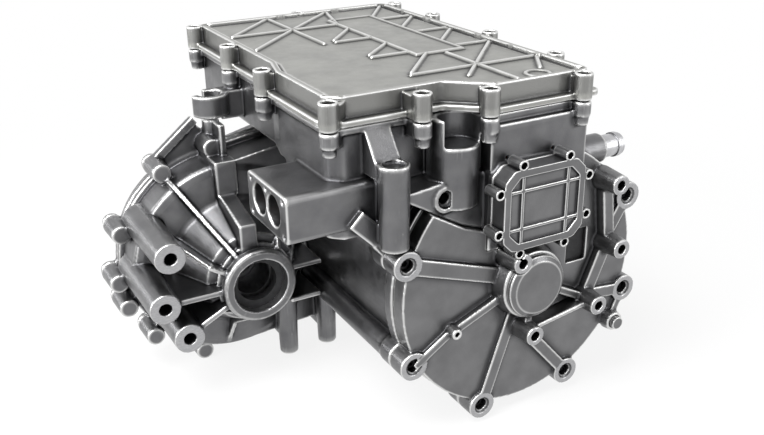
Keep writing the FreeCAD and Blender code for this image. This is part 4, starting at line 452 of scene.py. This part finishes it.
def milled_kept(mesh, discs):
    """Marks the points that a cutter has gone over, from 0 outside to 1 half a millimetre inside the
    border: flat discs that face the front, each with its centre and radius, and the walls of the
    output bores, which lie round the frame's Y axis."""
    places = at_points(mesh, "co") / MM
    milled = numpy.zeros(len(places))
    for centre, radius in discs:
        away = places - numpy.array(centre) / MM
        inside = radius / MM - numpy.hypot(away[:, 0], away[:, 2])
        on_face = (MILLED_DEPTH - numpy.abs(away[:, 1])) / MILLED_FADE
        milled = numpy.maximum(milled, (numpy.minimum(inside, on_face) + BORDER_MARK).clip(0, 1))
    in_bore = numpy.hypot(places[:, 0], places[:, 2]) < BORE_REACH
    keep_mark(mesh, "milled", numpy.maximum(milled, in_bore))


def modified(piece):
    """The piece's mesh with its modifiers worked in, which leave the piece."""
    whole = piece.evaluated_get(bpy.context.evaluated_depsgraph_get())
    mesh = bpy.data.meshes.new_from_object(whole)
    piece.modifiers.clear()
    return mesh


# How close points are to be one, how far a pass moves a point to its neighbours' middle, and the
# most triangles that a piece keeps.
MERGED_MM, SMOOTH_SHARE, MOST_TRIANGLES = 0.005, 0.5, 190000


def softened(name, finish, voxel_mm, passes=5, machined=(), before=None, after=None):
    """Rounds a casting's edges as the mould does, in a copy that stands for the plain solid. The
    copy is changed by before() as it comes from the solid, and by after() once it is rounded."""
    wear(finish, name)
    joined = bmesh.new()
    joined.from_mesh(nodes[name].data)
    bmesh.ops.remove_doubles(joined, verts=joined.verts, dist=MERGED_MM * MM)
    if before:
        before(joined)
    mesh = bpy.data.meshes.new(name + "_rounded")
    joined.to_mesh(mesh)
    joined.free()
    piece = bpy.data.objects.new(name + "_rounded", mesh)
    bpy.context.scene.collection.objects.link(piece)
    remesh = piece.modifiers.new("skin", "REMESH")
    remesh.mode = "VOXEL"
    remesh.voxel_size = voxel_mm * MM
    smooth = piece.modifiers.new("fillets", "SMOOTH")
    smooth.factor = SMOOTH_SHARE
    smooth.iterations = passes
    piece.data = modified(piece)
    if after:
        after(piece.data)
    bend_kept(piece.data)
    milled_kept(piece.data, machined)
    count = sum(len(face.vertices) - 2 for face in piece.data.polygons)
    if count > MOST_TRIANGLES:
        thin = piece.modifiers.new("thinned", "DECIMATE")
        thin.ratio = MOST_TRIANGLES / count
        piece.data = modified(piece)
    piece.data.materials.clear()
    piece.data.materials.append(finish)
    piece.data.shade_smooth()
    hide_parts(name)
    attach(piece, "housing")


# Places on the castings are in millimetres from here, a point on the motor's axis at the end cover.
MOTOR_PLACE = (182, -138, 21)
LID_BOSSES = [
    (-156.5, 344), (-157.6, 246), (-165, 147), (-161, 33), (-90, 19), (-40, 2.6),
    (48, 0.5), (72, 65), (75, 166), (75, 268), (73, 344), (-40, 352),
]
CORNER_BOSS = (-161, 33)  # the front left one, which keeps its short plain column
# A column's top and foot above the motor's axis, and its radius at each.
COLUMN_TOP, COLUMN_FOOT, COLUMN_WIDE, COLUMN_NARROW, COLUMN_SIDES = 146.8, 127, 7.4, 5.8, 48


def seen_from_motor(x, y, z):
    """A point given from the motor's place, in millimetres, in the unit's own frame."""
    return tuple((value + shift) * MM for value, shift in zip((x, y, z), MOTOR_PLACE))


def columns_added(joined):
    """Sets a tapered column, as wide as the lid's boss, round each plain one under the lid."""
    height = (COLUMN_TOP - COLUMN_FOOT) * MM
    for boss in LID_BOSSES:
        if boss == CORNER_BOSS:
            continue
        centre = Vector(seen_from_motor(*boss, (COLUMN_TOP + COLUMN_FOOT) / 2))
        bmesh.ops.create_cone(
            joined,
            cap_ends=True,
            segments=COLUMN_SIDES,
            radius1=COLUMN_NARROW * MM,
            radius2=COLUMN_WIDE * MM,
            depth=height,
            matrix=Matrix.Translation(centre),
        )


housing_skin = blasted("shot_blasted_cast_aluminium", "#68686a", "#79797a", 0.34)
softened("motor_housing", housing_skin, 1.1, passes=4, before=columns_added)

# The gearbox housing, a ribbed bell with the output ring, and its cover: the same cast and blasted
# aluminium, screwed together at the flange. The flat ends of the three mounting bosses are milled.
MOUNT_PLACES = ((-259, 24), (-268, -21), (-250, -54.5))
MOUNT_FRONT, MOUNT_FACE = 139, 13.2
MOUNT_FACES = [(seen_from_motor(x, MOUNT_FRONT, z), MOUNT_FACE * MM) for x, z in MOUNT_PLACES]
CHANNEL_LEFT, CHANNEL_RIGHT, CHANNEL_FRONT = -195, -175, 199
CHANNEL_FOOT, CHANNEL_SHOULDER, CHANNEL_TOP = 44, 70, 77
BELL_WALL, FLANGE_BACK = 211, 246


def channel_raised(joined):
    """Carries the channel above the output ring up to the flange: a slab set into the bell's wall,
    and a shoulder on it that reaches back to the flange."""
    for rear, low in ((BELL_WALL, CHANNEL_FOOT), (FLANGE_BACK, CHANNEL_SHOULDER)):
        start = Vector(seen_from_motor(CHANNEL_LEFT, CHANNEL_FRONT, low))
        end = Vector(seen_from_motor(CHANNEL_RIGHT, rear, CHANNEL_TOP))
        block = Matrix.Translation((start + end) / 2) @ Matrix.Diagonal((*(end - start), 1))
        bmesh.ops.create_cube(joined, size=1, matrix=block)


softened("gearbox_housing", housing_skin, 1.1, machined=MOUNT_FACES, before=channel_raised)
softened("gearbox_cover", housing_skin, 1.5)

# The end cover, the round cap over the position sensor, the terminal box's ribbed cover and the
# blanking plug: smaller castings of the same metal, a shade lighter. The ends of the end cover's
# screw bosses and bracket bosses are milled.
SCREW_CIRCLE, FIRST_SCREW, SCREW_STEP, SCREW_COUNT, SCREW_FACE = 120, 160.8, 45, 6, 12.0
BRACKET_PLACES = ((-19.5, 27.5), (-3, -44), (65, -34), (85.5, 15), (78, 75))
BRACKET_FRONT, BRACKET_FACE = -22, 8.2
SCREW_ANGLES = [math.radians(FIRST_SCREW + SCREW_STEP * index) for index in range(SCREW_COUNT)]
COVER_FACES = [
    (seen_from_motor(SCREW_CIRCLE * math.cos(angle), 0, SCREW_CIRCLE * math.sin(angle)), SCREW_FACE * MM)
    for angle in SCREW_ANGLES
]
COVER_FACES += [(seen_from_motor(x, BRACKET_FRONT, z), BRACKET_FACE * MM) for x, z in BRACKET_PLACES]
cover_skin = blasted("shot_blasted_cover_aluminium", "#6c6c6d", "#7b7b7c", 0.33)
softened("end_cover", cover_skin, 0.95, passes=4, machined=COVER_FACES)
softened("resolver_cap", cover_skin, 0.7, passes=4)
softened("access_cover", cover_skin, 0.4, passes=3)
softened("blanking_plug", cover_skin, 0.5, passes=4)

# The lid is the same metal as cast, a little warmer and flatter than the housing. Its top has a
# bead and a groove round the edge, thin ribs in a truss of square bays, and a long raised panel.
LID_CORNERS = [
    (-158, 48), (-158, 135), (-150, 165), (-150, 350), (62, 350), (62, 9), (-30, 9), (-62, 38), (-148, 38),
]
LID_PAD, PAD_ROOM, BOSS_ROOM = (21.6, 25.2), 12.5, 9.0
BAND_TOP = 154  # the lid's sides are painted darker above its clamping band, as shade
PLATE_TOP, TOP_DEPTH = 166.8, 1.5
BEAD_WIDTH, BEAD_GAP, GROOVE_WIDTH, GROOVE_DEPTH = 5.0, 0.2, 3.6, 1.3
FLANK_LEVEL, FLANK_FADE = 0.75, 0.5  # the mark fades out as a side's normal turns up this far
RIB_HALF, RIB_SLOPE, RIB_HEIGHT, PANEL_HEIGHT = 0.9, 1.5, 2.3, 1.0
EDGE_LEFT, TRUSS_LEFT, PANEL_LEFT, PANEL_RIGHT, EDGE_RIGHT = -140, -78, -29, 18, 55
BAY_1, BAY_2, BAY_3, BAY_4, EDGE_REAR = 72, 141, 210, 281, 345
# The ribs, each from one corner of a bay to another, or a little off it as in the photograph.
LID_TRUSS = [
    ((EDGE_LEFT, BAY_4), (TRUSS_LEFT, EDGE_REAR)),
    ((TRUSS_LEFT, EDGE_REAR), (TRUSS_LEFT, BAY_3)),
    ((EDGE_LEFT, BAY_4), (PANEL_LEFT, BAY_4)),
    ((EDGE_LEFT, BAY_3 + 10), (TRUSS_LEFT, BAY_4)),
    ((TRUSS_LEFT, BAY_4), (PANEL_LEFT + 18, EDGE_REAR)),
    ((PANEL_LEFT + 18, EDGE_REAR), (PANEL_LEFT, BAY_4)),
    ((TRUSS_LEFT + 14, BAY_3 + 8), (PANEL_LEFT, BAY_4 - 24)),
    ((TRUSS_LEFT + 12, BAY_3), (PANEL_LEFT, BAY_3)),
    ((TRUSS_LEFT + 14, BAY_2 + 8), (PANEL_LEFT, BAY_3 - 28)),
    ((TRUSS_LEFT + 12, BAY_2), (PANEL_LEFT, BAY_2)),
    ((TRUSS_LEFT + 14, BAY_1 + 6), (PANEL_LEFT + 8, BAY_2 - 14)),
    ((TRUSS_LEFT + 10, BAY_1), (EDGE_RIGHT, BAY_1)),
    ((PANEL_RIGHT, BAY_4 + 14), (EDGE_RIGHT, EDGE_REAR)),
    ((PANEL_RIGHT, BAY_4), (EDGE_RIGHT, BAY_4)),
    ((PANEL_RIGHT, BAY_3 + 24), (EDGE_RIGHT, BAY_4 - 4)),
    ((PANEL_RIGHT, BAY_3), (EDGE_RIGHT, BAY_3)),
    ((PANEL_RIGHT, BAY_2 + 22), (EDGE_RIGHT, BAY_3 - 6)),
    ((PANEL_RIGHT, BAY_2), (EDGE_RIGHT, BAY_2)),
    ((EDGE_RIGHT, BAY_2 - 2), (PANEL_LEFT, 48)),
    ((EDGE_RIGHT, BAY_1 - 2), (34, 38)),
    ((PANEL_LEFT + 26, BAY_2 - 20), (PANEL_LEFT + 26, 18)),
]
PANEL_NEAR, PANEL_FAR = 128, 300
lid_skin = blasted("cast_lid_aluminium", "#90908d", "#a0a09c", 0.38, painted_flank_shade="#858583")


def from_bar(x, y, start, end):
    """How far points lie from a straight line between two places."""
    (x0, y0), (x1, y1) = start, end
    along = ((x - x0) * (x1 - x0) + (y - y0) * (y1 - y0)) / ((x1 - x0) ** 2 + (y1 - y0) ** 2)
    along = along.clip(0, 1)
    return numpy.hypot(x - x0 - along * (x1 - x0), y - y0 - along * (y1 - y0))


def lid_field(places):
    """Where points lie on the lid's top inside the bead, clear of the bosses and of the pad: a mark
    for each, and how far it is from the edge. The places are in millimetres from the motor's place."""
    x, y = places[:, 0], places[:, 1]
    sides = list(zip(LID_CORNERS, LID_CORNERS[1:] + LID_CORNERS[:1]))
    away = numpy.min([from_bar(x, y, start, end) for start, end in sides], axis=0)
    inside = numpy.zeros(len(x), dtype=bool)
    for (x0, y0), (x1, y1) in sides:
        if y0 != y1:
            crossed = (y0 > y) != (y1 > y)
            inside ^= crossed & (x < x0 + (y - y0) * (x1 - x0) / (y1 - y0))
    top = inside & (away > BEAD_WIDTH + BEAD_GAP) & (places[:, 2] > PLATE_TOP - TOP_DEPTH)
    for boss_x, boss_y in LID_BOSSES:
        top &= numpy.hypot(x - boss_x, y - boss_y) > BOSS_ROOM
    return top & (numpy.hypot(x - LID_PAD[0], y - LID_PAD[1]) > PAD_ROOM), away


def lid_levelled(joined):
    """Takes the solid's plain ribs and panels off the copy, for the finer truss."""
    places = numpy.array([vertex.co for vertex in joined.verts]) / MM - MOTOR_PLACE
    for vertex, top in zip(joined.verts, lid_field(places)[0]):
        if top:
            vertex.co.z = seen_from_motor(0, 0, PLATE_TOP)[2]


def lid_trussed(mesh):
    """Raises the ribs and the panel, presses in the groove beside the bead, and marks the upright sides for
    their painted shade.
    """
    places = at_points(mesh, "co") / MM - MOTOR_PLACE
    top, away = lid_field(places)
    x, y = places[:, 0], places[:, 1]
    near = numpy.min([from_bar(x, y, start, end) for start, end in LID_TRUSS], axis=0)
    ribs = ((RIB_HALF + RIB_SLOPE - near) / RIB_SLOPE).clip(0, 1) * RIB_HEIGHT
    beyond = numpy.maximum.reduce([PANEL_LEFT - x, x - PANEL_RIGHT, PANEL_NEAR - y, y - PANEL_FAR])
    panel = (-beyond / RIB_SLOPE).clip(0, 1) * PANEL_HEIGHT
    rim = ((RIB_HALF + RIB_SLOPE - numpy.abs(beyond)) / RIB_SLOPE).clip(0, 1) * RIB_HEIGHT
    across = (away - BEAD_WIDTH - GROOVE_WIDTH / 2) / (GROOVE_WIDTH / 2)
    groove = (1 - across**2).clip(0, 1) * GROOVE_DEPTH
    height = PLATE_TOP + numpy.maximum.reduce([ribs, panel, rim]) - groove
    places[:, 2] = numpy.where(top, height, places[:, 2])
    mesh.vertices.foreach_set("co", ((places + MOTOR_PLACE) * MM).ravel())
    mesh.update()
    # Painted shade: the lid's upright sides above its band are marked to be painted darker.
    upright = ((FLANK_LEVEL - at_points(mesh, "normal")[:, 2]) / FLANK_FADE).clip(0, 1)
    keep_mark(mesh, "painted_flank_shade", upright * (places[:, 2] > BAND_TOP))


softened("inverter_lid", lid_skin, 0.8, passes=3, before=lid_levelled, after=lid_trussed)

# The screws and plugs: socket screws of blackened steel in the counterbored bosses, and plugs and
# a breather in the gearbox.

# Blackened steel: near black and satin, a little lighter in patches where the oil has worn off.
material, tree, shader = finish_start("blackened_screw_steel", 0.9, 0.4)
coloured(tree, shader, mottled(tree, 3), "#2a2a2c", "#404042")
relief(tree, shader, mottled(tree, 0.8), 0.03)
glossed(tree, shader, mottled(tree, 2, 0.32, 0.5, seed=6.0))
wear(
    material,
    "lid_screws",
    "access_screws",
    "end_cover_screws",
    "gearbox_screws",
    "motor_flange_screws",
    "ring_gear_screws",
    "drain_plug",
    "fill_plug",
)
